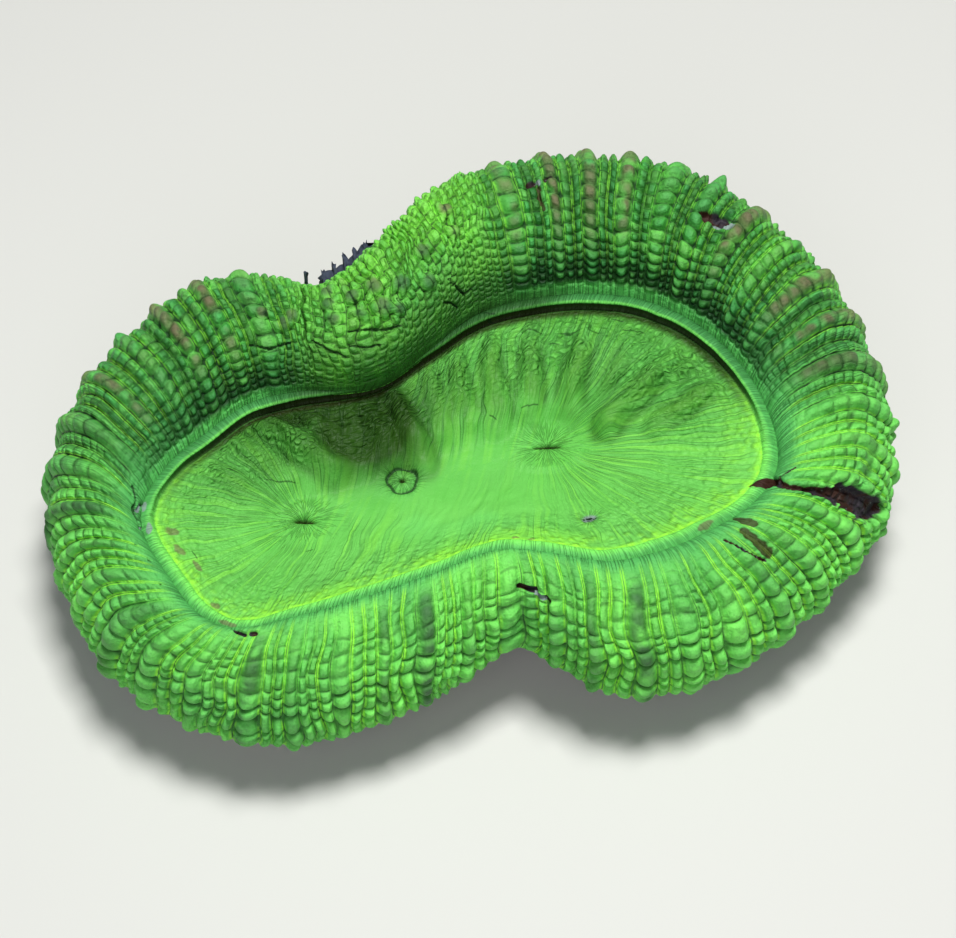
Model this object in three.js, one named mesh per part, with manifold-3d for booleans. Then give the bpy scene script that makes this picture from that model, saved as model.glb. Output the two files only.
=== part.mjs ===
// An open brain coral with its flesh spread out, grown as one body: a figure-of-eight skeleton cone,
// cut flat at the foot, carries an inflated fleshy mantle around a sunken oral disc with its mouths.
// Units are millimetres, +Z is up. The long axis lies along X and the side with the tall mantle is +Y.
import * as THREE from "three";
import { mergeVertices } from "three/addons/utils/BufferGeometryUtils.js";
import Module from "manifold-3d";

// Driving dimensions.
const RIDGES = 48; // fleshy ridges that cross the mantle, each over one main septum
const RIDGE_COLUMNS = 4; // columns of points to a ridge, so that its crown and its valley both show
const RIDGE_HEIGHT = 1.5; // crown above valley on the open mantle
const KNOB_SHARE = 0.14; // how far the knobs along a ridge stand out, as a share of their spacing
const MANTLE_BANDS = 14; // bands of faces from the groove to the mantle's outermost edge
const LIP_WIDTH = 1.7; // the thin raised flange around the oral disc
const LIP_RISE = 1.3; // flange above the groove that parts it from the mantle
const GROOVE_SHARE = 0.05; // where the groove lies, as a share of the way from the flange to the outer edge
const FAR_LIP_DROP = 3.2; // step down from flange to disc under the tall mantle
const NEAR_LIP_DROP = 0.7; // the same step on the low side
const RIM_TUCK = 5; // height of the mantle's edge that turns under
const TUCK_SHARE = 0.2; // how far in the turned edge reaches, as a share of the mantle's reach
const LEFT_MOUTH = new THREE.Vector3(-31, -3, 24); // mouth in the smaller lobe
const MAIN_MOUTH = new THREE.Vector3(13.5, 6, 23.5); // mouth in the larger lobe
const CUSHION_HEIGHT = 0.45; // crown above valley of the soft ridges on the disc's far slope
const MOUTH_DEPTH = 2.4; // depth of the pit of a mouth
const FOOT_HALF = { x: 38, y: 21 }; // the flat cut that the coral stands on
const FOOT_CENTRE = { x: -3, y: 3 };
const BODY_CENTRE = { x: -1, y: 7 }; // middle of the spread flesh, where the origin goes

// Once round the coral, from its right end over the tall side: the flange's place, the mantle's
// outermost edge, then the mantle's crest as a share of the way out and its height.
const STATIONS = [
  { lip: [49.5, -10, 32], rim: [73.5, -5, 20], crest: [0.36, 35.5] },
  { lip: [50, -2, 32], rim: [74.5, 6, 21], crest: [0.42, 37.5] },
  { lip: [48, 8, 32], rim: [73.5, 24, 21], crest: [0.5, 41] },
  { lip: [43, 18, 32], rim: [63.5, 40, 22], crest: [0.55, 44.5] },
  { lip: [35.5, 25, 32], rim: [48, 52, 23], crest: [0.58, 47] },
  { lip: [27, 28.5, 32], rim: [31.5, 56.5, 23], crest: [0.58, 48.5] },
  { lip: [16.5, 29.5, 32], rim: [15, 57.5, 23], crest: [0.58, 48.5] },
  { lip: [5.5, 28, 32], rim: [2, 53.5, 24], crest: [0.58, 48.5] },
  { lip: [-4.5, 22.5, 32], rim: [-9.5, 44.5, 26], crest: [0.56, 47.5] },
  { lip: [-13.5, 18, 31.5], rim: [-17.5, 39, 28], crest: [0.54, 46] },
  { lip: [-21, 17, 31.5], rim: [-22.5, 38, 28], crest: [0.54, 44.5] },
  { lip: [-28.5, 17, 31.5], rim: [-31, 42, 25], crest: [0.56, 43.5] },
  { lip: [-37.5, 15.5, 31.5], rim: [-45, 43.5, 22], crest: [0.56, 42] },
  { lip: [-46, 10, 31.5], rim: [-58, 38.5, 20], crest: [0.52, 40] },
  { lip: [-52, 5.5, 31.5], rim: [-68.5, 30, 19], crest: [0.48, 38] },
  { lip: [-57, -1.5, 31.5], rim: [-75, 19.5, 18], crest: [0.42, 36] },
  { lip: [-57.5, -8, 31.5], rim: [-76.5, 6, 17], crest: [0.34, 34.5] },
  { lip: [-54.5, -16, 31.5], rim: [-73.5, -7.5, 16], crest: [0.26, 33.5] },
  { lip: [-50.5, -24, 31.5], rim: [-67.5, -23.5, 16], crest: [0.22, 33] },
  { lip: [-45, -28, 31.5], rim: [-56, -35, 16], crest: [0.2, 33] },
  { lip: [-36, -27, 31.5], rim: [-42.5, -41.5, 16], crest: [0.2, 33] },
  { lip: [-26, -25.5, 31.5], rim: [-29, -41.5, 16], crest: [0.2, 33] },
  { lip: [-12, -22.5, 31.5], rim: [-14.5, -38, 17], crest: [0.2, 33] },
  { lip: [-3.5, -20.5, 32], rim: [-4.5, -34, 19], crest: [0.22, 33.5] },
  { lip: [2.5, -20.5, 32], rim: [1.5, -32.5, 20], crest: [0.22, 33.5] },
  { lip: [9, -22.5, 32], rim: [8, -36.5, 18], crest: [0.22, 33.5] },
  { lip: [18, -25.3, 32], rim: [17.5, -42.5, 16], crest: [0.2, 33] },
  { lip: [27, -24.5, 32], rim: [30.5, -43, 16], crest: [0.2, 33] },
  { lip: [34, -22.5, 32], rim: [45.5, -37, 16], crest: [0.22, 33] },
  { lip: [41.5, -19.5, 32], rim: [60.5, -26.5, 17], crest: [0.26, 33.5] },
  { lip: [47, -15, 32], rim: [70, -16.5, 18], crest: [0.3, 34.5] },
];

// Broad swellings and pinches of the mantle: where round the coral (in stations), how far out
// (0 at the flange, 1 at the outer edge), their spread both ways and their height.
const SWELLINGS = [
  { at: 9.2, out: 0.2, round: 1.5, along: 0.2, height: 3.6 }, // fold that leans over the disc
  { at: 7.6, out: 0.5, round: 0.9, along: 0.25, height: 1.4 },
  { at: 12.2, out: 0.4, round: 1.3, along: 0.25, height: 2.2 },
  { at: 13.8, out: 0.5, round: 0.7, along: 0.2, height: 1.2 },
  { at: 10.4, out: 0.75, round: 0.6, along: 0.3, height: -1.6 }, // pinch behind the fold
  { at: 24.2, out: 0.85, round: 0.7, along: 0.3, height: -1.6 }, // pinch on the low side
  { at: 26, out: 0.5, round: 1.0, along: 0.3, height: 1.0 },
];

// The long tear at the right end, where the flesh has parted over the skeleton.
// at and halfWidth are in stations, from and to are shares of the way out, like those of SWELLINGS.
const TEAR = { at: 30.35, from: 0.06, to: 0.97, halfWidth: 0.36, depth: 2 };

// The mouths in the disc: place, half of the opening's length and width, and its turn in the disc.
const MOUTHS = [
  { x: 13.5, y: 6, z: 23.5, length: 2.6, width: 0.7, turn: 0.1 }, // main mouth, a long slit
  { x: -31, y: -3, z: 24, length: 1.6, width: 0.6, turn: -0.4 }, // mouth of the smaller lobe
  { x: -13, y: 1.8, z: 23.8, length: 1, width: 1, turn: 0 }, // round mouth in the valley
  { x: 17.5, y: -13.5, z: 25.5, length: 1.1, width: 0.8, turn: 0.3 }, // small one near the low side
];

// Bare septa that stand behind the mantle's pinch on the tall side: the first one's place, the step
// from one to the next, and the plates' sizes. Their tops rise towards the larger lobe.
const SEPTA = {
  count: 5,
  x: -25,
  y: 31,
  step: 2.4,
  thick: 1.1,
  reach: 14.5, // how far a plate stands out, part of it hidden in the flesh
  low: 13, // height of its lower end
  high: 33, // height of the first plate's summit
  rise: 1, // how much higher each next plate's summit is
  teeth: 5,
  tooth: 1.5,
};

const COUNT = STATIONS.length;
const DISC_SHARES = [0.05, 0.18, 0.34, 0.5, 0.66, 0.82, 0.94, 1]; // rings of the disc, valley to flange
const TUCKS = [0.35, 0.75]; // rings of the turned-under edge, as shares of its quarter turn
const WALL_SHARES = [1, 0.5, 0]; // rings of the cone's wall, from under the mantle to the foot

// A closed Catmull-Rom reading of one number of the stations, at a place counted in stations.
function around(read, place) {
  const i = Math.floor(place);
  const f = place - i;
  const [a, b, c, d] = [-1, 0, 1, 2].map((k) => read(STATIONS[(((i + k) % COUNT) + COUNT) % COUNT]));
  return b + 0.5 * f * (c - a + f * (2 * a - 5 * b + 4 * c - d + f * (3 * (b - c) + d - a)));
}

// The station-like values at any place round the coral.
function sectionAt(place) {
  const vector = (key) => new THREE.Vector3(...[0, 1, 2].map((k) => around((s) => s[key][k], place)));
  return {
    place,
    lip: vector("lip"),
    rim: vector("rim"),
    crestShare: around((s) => s.crest[0], place),
    crestHeight: around((s) => s.crest[1], place),
  };
}

// How far along a row of points each one lies.
function lengthsAlong(points) {
  const lengths = [0];
  for (let i = 1; i < points.length; i++) lengths.push(lengths[i - 1] + points[i].distanceTo(points[i - 1]));
  return lengths;
}

// The fractional indices at which rising lengths reach each of the even steps of their whole.
function inverted(lengths, steps) {
  const whole = lengths[lengths.length - 1];
  let i = 0;
  return Array.from({ length: steps + 1 }, (_, k) => {
    const goal = (whole * k) / steps;
    while (i + 2 < lengths.length && lengths[i + 1] < goal) i++;
    return i + (goal - lengths[i]) / (lengths[i + 1] - lengths[i]);
  });
}

// Places round the coral whose spacing is even along the middle of the mantle.
function evenPlaces(count) {
  const fine = 20 * COUNT;
  const middle = 0.6; // share of the way from the flange to the outer edge
  const middles = Array.from({ length: fine + 1 }, (_, i) => {
    const section = sectionAt((i * COUNT) / fine);
    return section.lip.clone().lerp(section.rim, middle);
  });
  return inverted(lengthsAlong(middles), count).slice(0, count).map((i) => (i * COUNT) / fine);
}

const smooth = (low, high, x) => THREE.MathUtils.smoothstep(x, low, high);

// 1 on the side with the tall mantle, 0 on the low side.
const farness = (section) => smooth(-12, 14, section.lip.y);

// Where a line from the flange meets the valley between the two mouths.
function valleyAt(section) {
  const t = smooth(LEFT_MOUTH.x - 8, MAIN_MOUTH.x + 4, section.lip.x);
  return LEFT_MOUTH.clone().lerp(MAIN_MOUTH, t);
}

// A point of the oral disc, from 0 in the valley to 1 at the foot of the flange. Under the tall
// mantle the disc swells like a cushion, and on the low side it rises evenly.
function discPoint(section, v) {
  const inner = valleyAt(section);
  const far = farness(section);
  const edge = section.lip.clone().lerp(inner, LIP_WIDTH / section.lip.distanceTo(inner));
  edge.z = section.lip.z - THREE.MathUtils.lerp(NEAR_LIP_DROP, FAR_LIP_DROP, far);
  const p = inner.clone().lerp(edge, v);
  const dish = v * v * (1.6 - 0.6 * v);
  const cushion = smooth(0.08, 0.8, v);
  const rise = THREE.MathUtils.lerp(dish, cushion, far);
  p.z = inner.z + (edge.z - inner.z) * rise;
  return p;
}

// How far a point of the disc stands up: soft ridges that run down the far slope to the mouths.
function discRelief(section, v, column) {
  const columns = 6; // columns of points to one soft ridge and its valley
  const swell = Math.sin(Math.PI * v);
  return CUSHION_HEIGHT * farness(section) * swell * Math.cos((2 * Math.PI * column) / columns);
}

// A point of the flange: 0 is its inner edge and 1 its outer one.
function lipPoint(section, v) {
  const inner = valleyAt(section);
  const width = LIP_WIDTH / section.lip.distanceTo(inner);
  const p = section.lip.clone().lerp(inner.setZ(section.lip.z), width * (1 - v));
  return p;
}

// A point of the mantle by its sweep: 0 in the groove, 1 at the crest, 2 at the outermost edge and
// 3 where the turned-under edge meets the skeleton.
function mantlePoint(section, sweep) {
  const { lip, rim, crestShare, crestHeight } = section;
  const grooveHeight = lip.z - LIP_RISE;
  const quarter = Math.min(Math.floor(sweep), 2);
  const turn = (sweep - quarter) * (Math.PI / 2);
  let share = 1 - TUCK_SHARE * (1 - Math.cos(turn));
  let height = rim.z - RIM_TUCK * Math.sin(turn);
  if (quarter === 0) {
    share = crestShare - (crestShare - GROOVE_SHARE) * Math.cos(turn);
    height = grooveHeight + (crestHeight - grooveHeight) * Math.sin(turn);
  } else if (quarter === 1) {
    share = crestShare + (1 - crestShare) * Math.sin(turn);
    height = rim.z + (crestHeight - rim.z) * Math.cos(turn);
  }
  return lip.clone().lerp(rim, share).setZ(height);
}

// The sweeps that part a section of the mantle into bands of even width, groove to outermost edge.
function evenSweeps(section, bands) {
  const fine = 64;
  const points = Array.from({ length: fine + 1 }, (_, i) => mantlePoint(section, (2 * i) / fine));
  return inverted(lengthsAlong(points), bands).map((i) => (2 * i) / fine);
}

// How far a point of the mantle stands out from its plain form. out is 0 in the groove and 1 at the
// outermost edge, measured along the surface.
function mantleRelief(section, out, column, ring, spacing) {
  const ridge = Math.floor(column / RIDGE_COLUMNS);
  const crown = Math.sin((Math.PI * (column % RIDGE_COLUMNS)) / RIDGE_COLUMNS) ** 0.8;
  // The ridges fade in above the groove and fade out under the outer edge.
  const grown = smooth(0.06, 0.35, out) * (1 - smooth(1.1, 1.3, out));
  // Every second ridge is bolder, and no two are quite alike.
  const bold = (ridge % 2 ? 1.2 : 0.85) * (1 + 0.2 * Math.sin(2.4 * ridge));
  const knob = (ring + ridge) % 2 ? KNOB_SHARE * spacing : -KNOB_SHARE * spacing;
  const across = Math.abs(section.place - TEAR.at) / TEAR.halfWidth;
  const parted = (1 - smooth(0.6, 1.1, across)) * smooth(TEAR.from, TEAR.from + 0.1, out);
  const torn = parted * (1 - smooth(TEAR.to - 0.1, TEAR.to, out));
  let relief = (1 - torn) * grown * bold * (RIDGE_HEIGHT * (crown - 0.5) + knob * crown);
  for (const s of SWELLINGS) {
    const apart = Math.abs(section.place - s.at);
    const turn = Math.min(apart, COUNT - apart);
    relief += s.height * Math.exp(-((turn / s.round) ** 2) - ((out - s.out) / s.along) ** 2);
  }
  return relief - TEAR.depth * torn;
}

// The mantle's rings of points, each raised along the surface normal by its relief.
function mantleRings(sections) {
  const underReach = 0.3; // length of the turned-under quarter, as a share of the way out
  const sweeps = sections.map((section) => [...evenSweeps(section, MANTLE_BANDS), ...TUCKS.map((t) => 2 + t)]);
  const outs = [
    ...Array.from({ length: MANTLE_BANDS + 1 }, (_, i) => i / MANTLE_BANDS),
    ...TUCKS.map((t) => 1 + underReach * t),
  ];
  const plain = outs.map((_, ring) => sections.map((section, i) => mantlePoint(section, sweeps[i][ring])));
  const columns = sections.length;
  return plain.map((points, ring) =>
    points.map((p, column) => {
      const ahead = points[(column + 1) % columns];
      const behind = points[(column + columns - 1) % columns];
      const outward = plain[Math.min(ring + 1, plain.length - 1)][column];
      const inward = plain[Math.max(ring - 1, 0)][column];
      const normal = outward.clone().sub(inward).cross(ahead.clone().sub(behind)).normalize();
      const spacing = outward.distanceTo(inward) / 2;
      return p.clone().addScaledVector(normal, mantleRelief(sections[column], outs[ring], column, ring, spacing));
    }),
  );
}

// A point on the skeleton cone's wall, from 0 at the foot to 1 under the mantle.
function wallPoint(section, share) {
  const flare = 1.6; // how much the wall hollows in before it spreads under the mantle
  const top = mantlePoint(section, 3);
  const angle = Math.atan2(section.lip.y - FOOT_CENTRE.y, section.lip.x - FOOT_CENTRE.x);
  const foot = new THREE.Vector3(
    FOOT_CENTRE.x + FOOT_HALF.x * Math.cos(angle),
    FOOT_CENTRE.y + FOOT_HALF.y * Math.sin(angle),
    0,
  );
  return foot.lerp(top, share ** flare).setZ(top.z * share);
}

// Joins rings of points, each with as many points as the next, or half or twice as many, into one
// closed surface, with a middle point to close the first ring and another to close the last.
function closedLoft(rings, firstMiddle, lastMiddle) {
  const positions = [];
  const index = [];
  const starts = rings.map((ring) => {
    const start = positions.length / 3;
    ring.forEach((p) => positions.push(p.x, p.y, p.z));
    return start;
  });
  const id = (ring, column) => starts[ring] + (column % rings[ring].length);
  for (let r = 0; r + 1 < rings.length; r++) {
    const inner = rings[r].length;
    const outer = rings[r + 1].length;
    const steps = Math.min(inner, outer);
    for (let c = 0; c < steps; c++) {
      if (inner === outer) {
        index.push(id(r, c), id(r + 1, c), id(r + 1, c + 1), id(r, c), id(r + 1, c + 1), id(r, c + 1));
      } else if (outer > inner) {
        index.push(id(r, c), id(r + 1, 2 * c), id(r + 1, 2 * c + 1));
        index.push(id(r, c), id(r + 1, 2 * c + 1), id(r, c + 1));
        index.push(id(r, c + 1), id(r + 1, 2 * c + 1), id(r + 1, 2 * c + 2));
      } else {
        index.push(id(r, 2 * c), id(r + 1, c), id(r, 2 * c + 1));
        index.push(id(r, 2 * c + 1), id(r + 1, c), id(r + 1, c + 1));
        index.push(id(r, 2 * c + 1), id(r + 1, c + 1), id(r, 2 * c + 2));
      }
    }
  }
  const first = positions.length / 3;
  positions.push(firstMiddle.x, firstMiddle.y, firstMiddle.z);
  positions.push(lastMiddle.x, lastMiddle.y, lastMiddle.z);
  const last = rings.length - 1;
  rings[0].forEach((_, c) => index.push(first, id(0, c), id(0, c + 1)));
  rings[last].forEach((_, c) => index.push(first + 1, id(last, c + 1), id(last, c)));
  const geometry = new THREE.BufferGeometry();
  geometry.setAttribute("position", new THREE.Float32BufferAttribute(positions, 3));
  geometry.setIndex(index);
  geometry.computeVertexNormals();
  return geometry;
}

// The flesh and the cone under it, as one closed surface.
function bodyGeometry() {
  const fine = evenPlaces(RIDGES * RIDGE_COLUMNS).map(sectionAt);
  const coarse = fine.filter((_, i) => i % 2 === 0);
  const rings = [
    ...DISC_SHARES.map((v) =>
      coarse.map((section, column) => {
        const p = discPoint(section, v);
        return p.setZ(p.z + discRelief(section, v, column));
      }),
    ),
    ...[0, 1].map((v) => coarse.map((section) => lipPoint(section, v))),
    ...mantleRings(fine),
    ...WALL_SHARES.map((share) => coarse.map((section) => wallPoint(section, share))),
  ];
  const valleyMiddle = LEFT_MOUTH.clone().lerp(MAIN_MOUTH, 0.5);
  const footMiddle = new THREE.Vector3(FOOT_CENTRE.x, FOOT_CENTRE.y, 0);
  return closedLoft(rings, valleyMiddle, footMiddle);
}

// One bare septum: a thin plate with a toothed, arched top edge that stands out across the pinch.
function septumGeometry(k) {
  const top = SEPTA.high + SEPTA.rise * k;
  const heel = 0.35; // share of the reach that the plate keeps at its lower end
  const arch = 32; // fall of the top edge per squared share of the reach, away from its summit
  const summit = 0.6;
  const root = 0.2; // share of the reach that lies hidden in the flesh, without teeth
  const outline = new THREE.Shape();
  outline.moveTo(0, SEPTA.low);
  outline.lineTo(heel * SEPTA.reach, SEPTA.low);
  for (let i = 0; i <= 2 * SEPTA.teeth; i++) {
    const along = 1 - ((1 - root) * i) / (2 * SEPTA.teeth);
    const notch = i % 2 ? SEPTA.tooth : 0;
    outline.lineTo(along * SEPTA.reach, top - arch * (along - summit) ** 2 - notch);
  }
  outline.lineTo(0, top - arch * (root - summit) ** 2);
  const plate = new THREE.ExtrudeGeometry(outline, { depth: SEPTA.thick, bevelEnabled: false });
  plate.rotateX(Math.PI / 2);
  plate.rotateZ(Math.PI / 2);
  plate.translate(SEPTA.x + k * SEPTA.step, SEPTA.y, 0);
  return plate;
}

// The pit of one mouth, narrowing downwards, to be cut out of the disc.
function mouthGeometry(mouth) {
  const clear = 3; // how far the cutter reaches above the disc
  const floor = 0.2; // the pit's floor as a share of its opening
  const top = floor + (1 - floor) * (1 + clear / MOUTH_DEPTH);
  const pit = new THREE.CylinderGeometry(top, floor, MOUTH_DEPTH + clear, 12);
  pit.rotateX(Math.PI / 2);
  pit.scale(mouth.length, mouth.width, 1);
  pit.rotateZ(mouth.turn);
  pit.translate(mouth.x, mouth.y, mouth.z + (clear - MOUTH_DEPTH) / 2);
  return pit;
}

const wasm = await Module();
wasm.setup();

// A closed geometry as a solid that can be joined to another.
function solidOf(geometry) {
  geometry.deleteAttribute("normal");
  geometry.deleteAttribute("uv");
  const merged = mergeVertices(geometry, 1e-4);
  return new wasm.Manifold(
    new wasm.Mesh({
      numProp: 3,
      vertProperties: merged.attributes.position.array,
      triVerts: new Uint32Array(merged.index.array),
    }),
  );
}

function coralGeometry() {
  let solid = solidOf(bodyGeometry());
  for (let k = 0; k < SEPTA.count; k++) solid = solid.add(solidOf(septumGeometry(k)));
  for (const mouth of MOUTHS) solid = solid.subtract(solidOf(mouthGeometry(mouth)));
  const mesh = solid.getMesh();
  const geometry = new THREE.BufferGeometry();
  geometry.setAttribute("position", new THREE.BufferAttribute(mesh.vertProperties, 3));
  geometry.setIndex(new THREE.BufferAttribute(mesh.triVerts, 1));
  geometry.computeVertexNormals();
  return geometry;
}

const flesh = new THREE.MeshStandardMaterial({ color: 0x4fc83a, roughness: 0.55, metalness: 0 });
const coral = new THREE.Mesh(coralGeometry(), flesh);
coral.name = "brain_coral";
coral.position.set(-BODY_CENTRE.x, -BODY_CENTRE.y, 0);

const group = new THREE.Group();
group.add(coral);

export default group;
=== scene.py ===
"""Looks of an open brain coral with its flesh spread: a beaded, ridged mantle in two lobes round a
sunken oral disc with its mouths, over a low skeleton cone that is cut off flat at the foot.

Places and sizes are in millimetres round the coral, as in the part's own outline, and are moved
into the row's frame in metres when a mesh is made.
"""

import logging
import math
from dataclasses import dataclass
from enum import Enum

import bmesh
import bpy
import numpy as np
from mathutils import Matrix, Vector

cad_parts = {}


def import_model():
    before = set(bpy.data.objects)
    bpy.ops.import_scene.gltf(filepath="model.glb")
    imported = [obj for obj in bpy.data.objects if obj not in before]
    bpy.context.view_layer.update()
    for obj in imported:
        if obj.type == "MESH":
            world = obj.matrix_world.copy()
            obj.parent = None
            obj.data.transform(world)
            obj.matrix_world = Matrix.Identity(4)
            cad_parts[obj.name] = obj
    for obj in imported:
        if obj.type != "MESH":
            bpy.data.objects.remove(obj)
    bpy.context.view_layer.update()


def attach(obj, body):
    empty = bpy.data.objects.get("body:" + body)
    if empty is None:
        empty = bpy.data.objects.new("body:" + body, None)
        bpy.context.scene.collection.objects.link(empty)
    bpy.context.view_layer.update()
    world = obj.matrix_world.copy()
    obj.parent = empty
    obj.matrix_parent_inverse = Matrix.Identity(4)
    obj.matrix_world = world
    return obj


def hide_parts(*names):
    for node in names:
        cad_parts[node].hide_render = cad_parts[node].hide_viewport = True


LOG = logging.getLogger("coral")

MM = 0.001
NODE = "brain_coral"
BODY = "root"

RIDGES = 48
BODY_CENTRE = (-1.0, 7.0)
LIP_RISE = 1.3
GROOVE_SHARE = 0.05
RIM_TUCK = 5.0
TUCK_SHARE = 0.2
UNDER_REACH = 0.3
LEFT_MOUTH = (-31.0, -3.0, 24.0)
FOOT_HALF = (38.0, 21.0)
FOOT_CENTRE = (-3.0, 3.0)

# Once round the coral from its right end over the tall side: flange x, y, z, outer edge x, y, z,
# then the crest's share of the way out and its height.
STATIONS = (
    (49.5, -10, 32, 73.5, -5, 20, 0.36, 35.5),
    (50, -2, 32, 74.5, 6, 21, 0.42, 37.5),
    (48, 8, 32, 71.8, 23.2, 21, 0.5, 41),
    (43, 18, 32, 62.3, 38.8, 22, 0.55, 44.5),
    (35.5, 25, 32, 48, 52, 23, 0.58, 47),
    (27, 28.5, 32, 31.5, 56.5, 23, 0.58, 48.5),
    (16.5, 29.5, 32, 15, 57.5, 23, 0.58, 48.5),
    (5.5, 28, 32, 2, 53.5, 24, 0.58, 48.5),
    (-4.5, 22.5, 32, -9.5, 44.5, 26, 0.56, 47.5),
    (-13.5, 18, 31.5, -17.5, 39, 28, 0.54, 46),
    (-21, 17, 31.5, -22.5, 38, 28, 0.54, 44.5),
    (-28.5, 17, 31.5, -31, 42, 25, 0.56, 43.5),
    (-37.5, 15.5, 31.5, -45, 43.5, 22, 0.56, 42),
    (-46, 10, 31.5, -57.2, 37.4, 20, 0.52, 40),
    (-52, 5.5, 31.5, -66.8, 28.8, 19, 0.48, 38),
    (-57, -1.5, 31.5, -73.2, 18.6, 18, 0.42, 36),
    (-57.5, -8, 31.5, -75.3, 5.6, 17, 0.34, 34.5),
    (-54.5, -16, 31.5, -73.5, -7.5, 16, 0.26, 33.5),
    (-50.5, -24, 31.5, -67.5, -23.5, 16, 0.22, 33),
    (-45, -28, 31.5, -56, -35, 16, 0.2, 33),
    (-36, -27, 31.5, -42.5, -41.5, 16, 0.2, 33),
    (-26, -25.5, 31.5, -29, -41.5, 16, 0.2, 33),
    (-12, -22.5, 31.5, -14.5, -38, 17, 0.2, 33),
    (-3.5, -20.5, 32, -4.5, -34, 19, 0.22, 33.5),
    (2.5, -20.5, 32, 1.5, -32.5, 20, 0.22, 33.5),
    (9, -22.5, 32, 8, -36.5, 18, 0.22, 33.5),
    (18, -25.3, 32, 17.5, -42.5, 16, 0.2, 33),
    (27, -24.5, 32, 30.5, -43, 16, 0.2, 33),
    (34, -22.5, 32, 45.5, -37, 16, 0.22, 33),
    (41.5, -19.5, 32, 60.5, -26.5, 17, 0.26, 33.5),
    (47, -15, 32, 70, -16.5, 18, 0.3, 34.5),
)


def smooth(low: float, high: float, x: np.ndarray | float) -> np.ndarray:
    """A smooth step that is 0 below low and 1 above high."""
    t = np.clip((np.asarray(x, float) - low) / (high - low), 0, 1)
    return t * t * (3 - 2 * t)


def mixed(a: np.ndarray | float, b: np.ndarray | float, t: np.ndarray | float) -> np.ndarray:
    """The value that lies t of the way from a to b."""
    return a + (b - a) * t


def linear(red: int, green: int, blue: int) -> tuple[float, float, float, float]:
    """A colour as seen on a screen, from 0 to 255, as the linear colour that a shader takes."""

    def channel(value: int) -> float:
        """One of the three on the shader's scale."""
        c = value / 255
        return c / 12.92 if c <= 0.04045 else ((c + 0.055) / 1.055) ** 2.4

    return channel(red), channel(green), channel(blue), 1.0


class SmoothNoise:
    """Seeded noise from -1 to 1 on a plane that closes on itself along x."""

    def __init__(self, seed: int, around: int, outward: int = 32) -> None:
        """Draws the lattice.

        Args:
            seed: Where the random numbers start.
            around: Cells along x before the noise repeats.
            outward: Cells along y before it repeats.
        """
        self.cells = np.random.default_rng(seed).uniform(-1, 1, (around, outward))

    def at(self, x: np.ndarray, y: np.ndarray) -> np.ndarray:
        """The noise at places counted in cells."""
        x, y = np.broadcast_arrays(np.asarray(x, float), np.asarray(y, float))
        i, j = np.floor(x).astype(int), np.floor(y).astype(int)
        a, b = x - i, y - j
        a, b = a * a * (3 - 2 * a), b * b * (3 - 2 * b)
        near = self._corner(i, j) * (1 - a) + self._corner(i + 1, j) * a
        far = self._corner(i, j + 1) * (1 - a) + self._corner(i + 1, j + 1) * a
        return near * (1 - b) + far * b

    def _corner(self, i: np.ndarray, j: np.ndarray) -> np.ndarray:
        """The lattice's numbers at whole places, repeated past its edges."""
        wide, deep = self.cells.shape
        return self.cells[i % wide, j % deep]

    def round(self, ridge: np.ndarray, y: np.ndarray) -> np.ndarray:
        """The noise at places counted in ridges, where it closes on itself once round the coral."""
        return self.at(np.asarray(ridge, float) * self.cells.shape[0] / RIDGES, y)


@dataclass(frozen=True)
class Sections:
    """Cross-sections of the coral at an array of places round it."""

    place: np.ndarray
    lip: np.ndarray
    rim: np.ndarray
    crest_share: np.ndarray
    crest_height: np.ndarray

    @property
    def farness(self) -> np.ndarray:
        """1 on the side with the tall mantle and 0 on the low side."""
        return smooth(-12, 14, self.lip[..., 1])


@dataclass(frozen=True)
class Swelling:
    """A broad swelling or pinch of the mantle, placed in stations and shares of the way out."""

    at: float
    out: float
    round: float
    along: float
    height: float


SWELLINGS = (
    Swelling(9.2, 0.2, 1.5, 0.2, 3.6),
    Swelling(7.6, 0.5, 0.9, 0.25, 1.4),
    Swelling(12.2, 0.4, 1.3, 0.25, 2.2),
    Swelling(13.8, 0.5, 0.7, 0.2, 1.2),
    Swelling(10.4, 0.75, 0.6, 0.3, -1.6),
    Swelling(24.2, 0.85, 0.7, 0.3, -1.6),
    Swelling(26.0, 0.5, 1.0, 0.3, 1.0),
)


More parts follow.
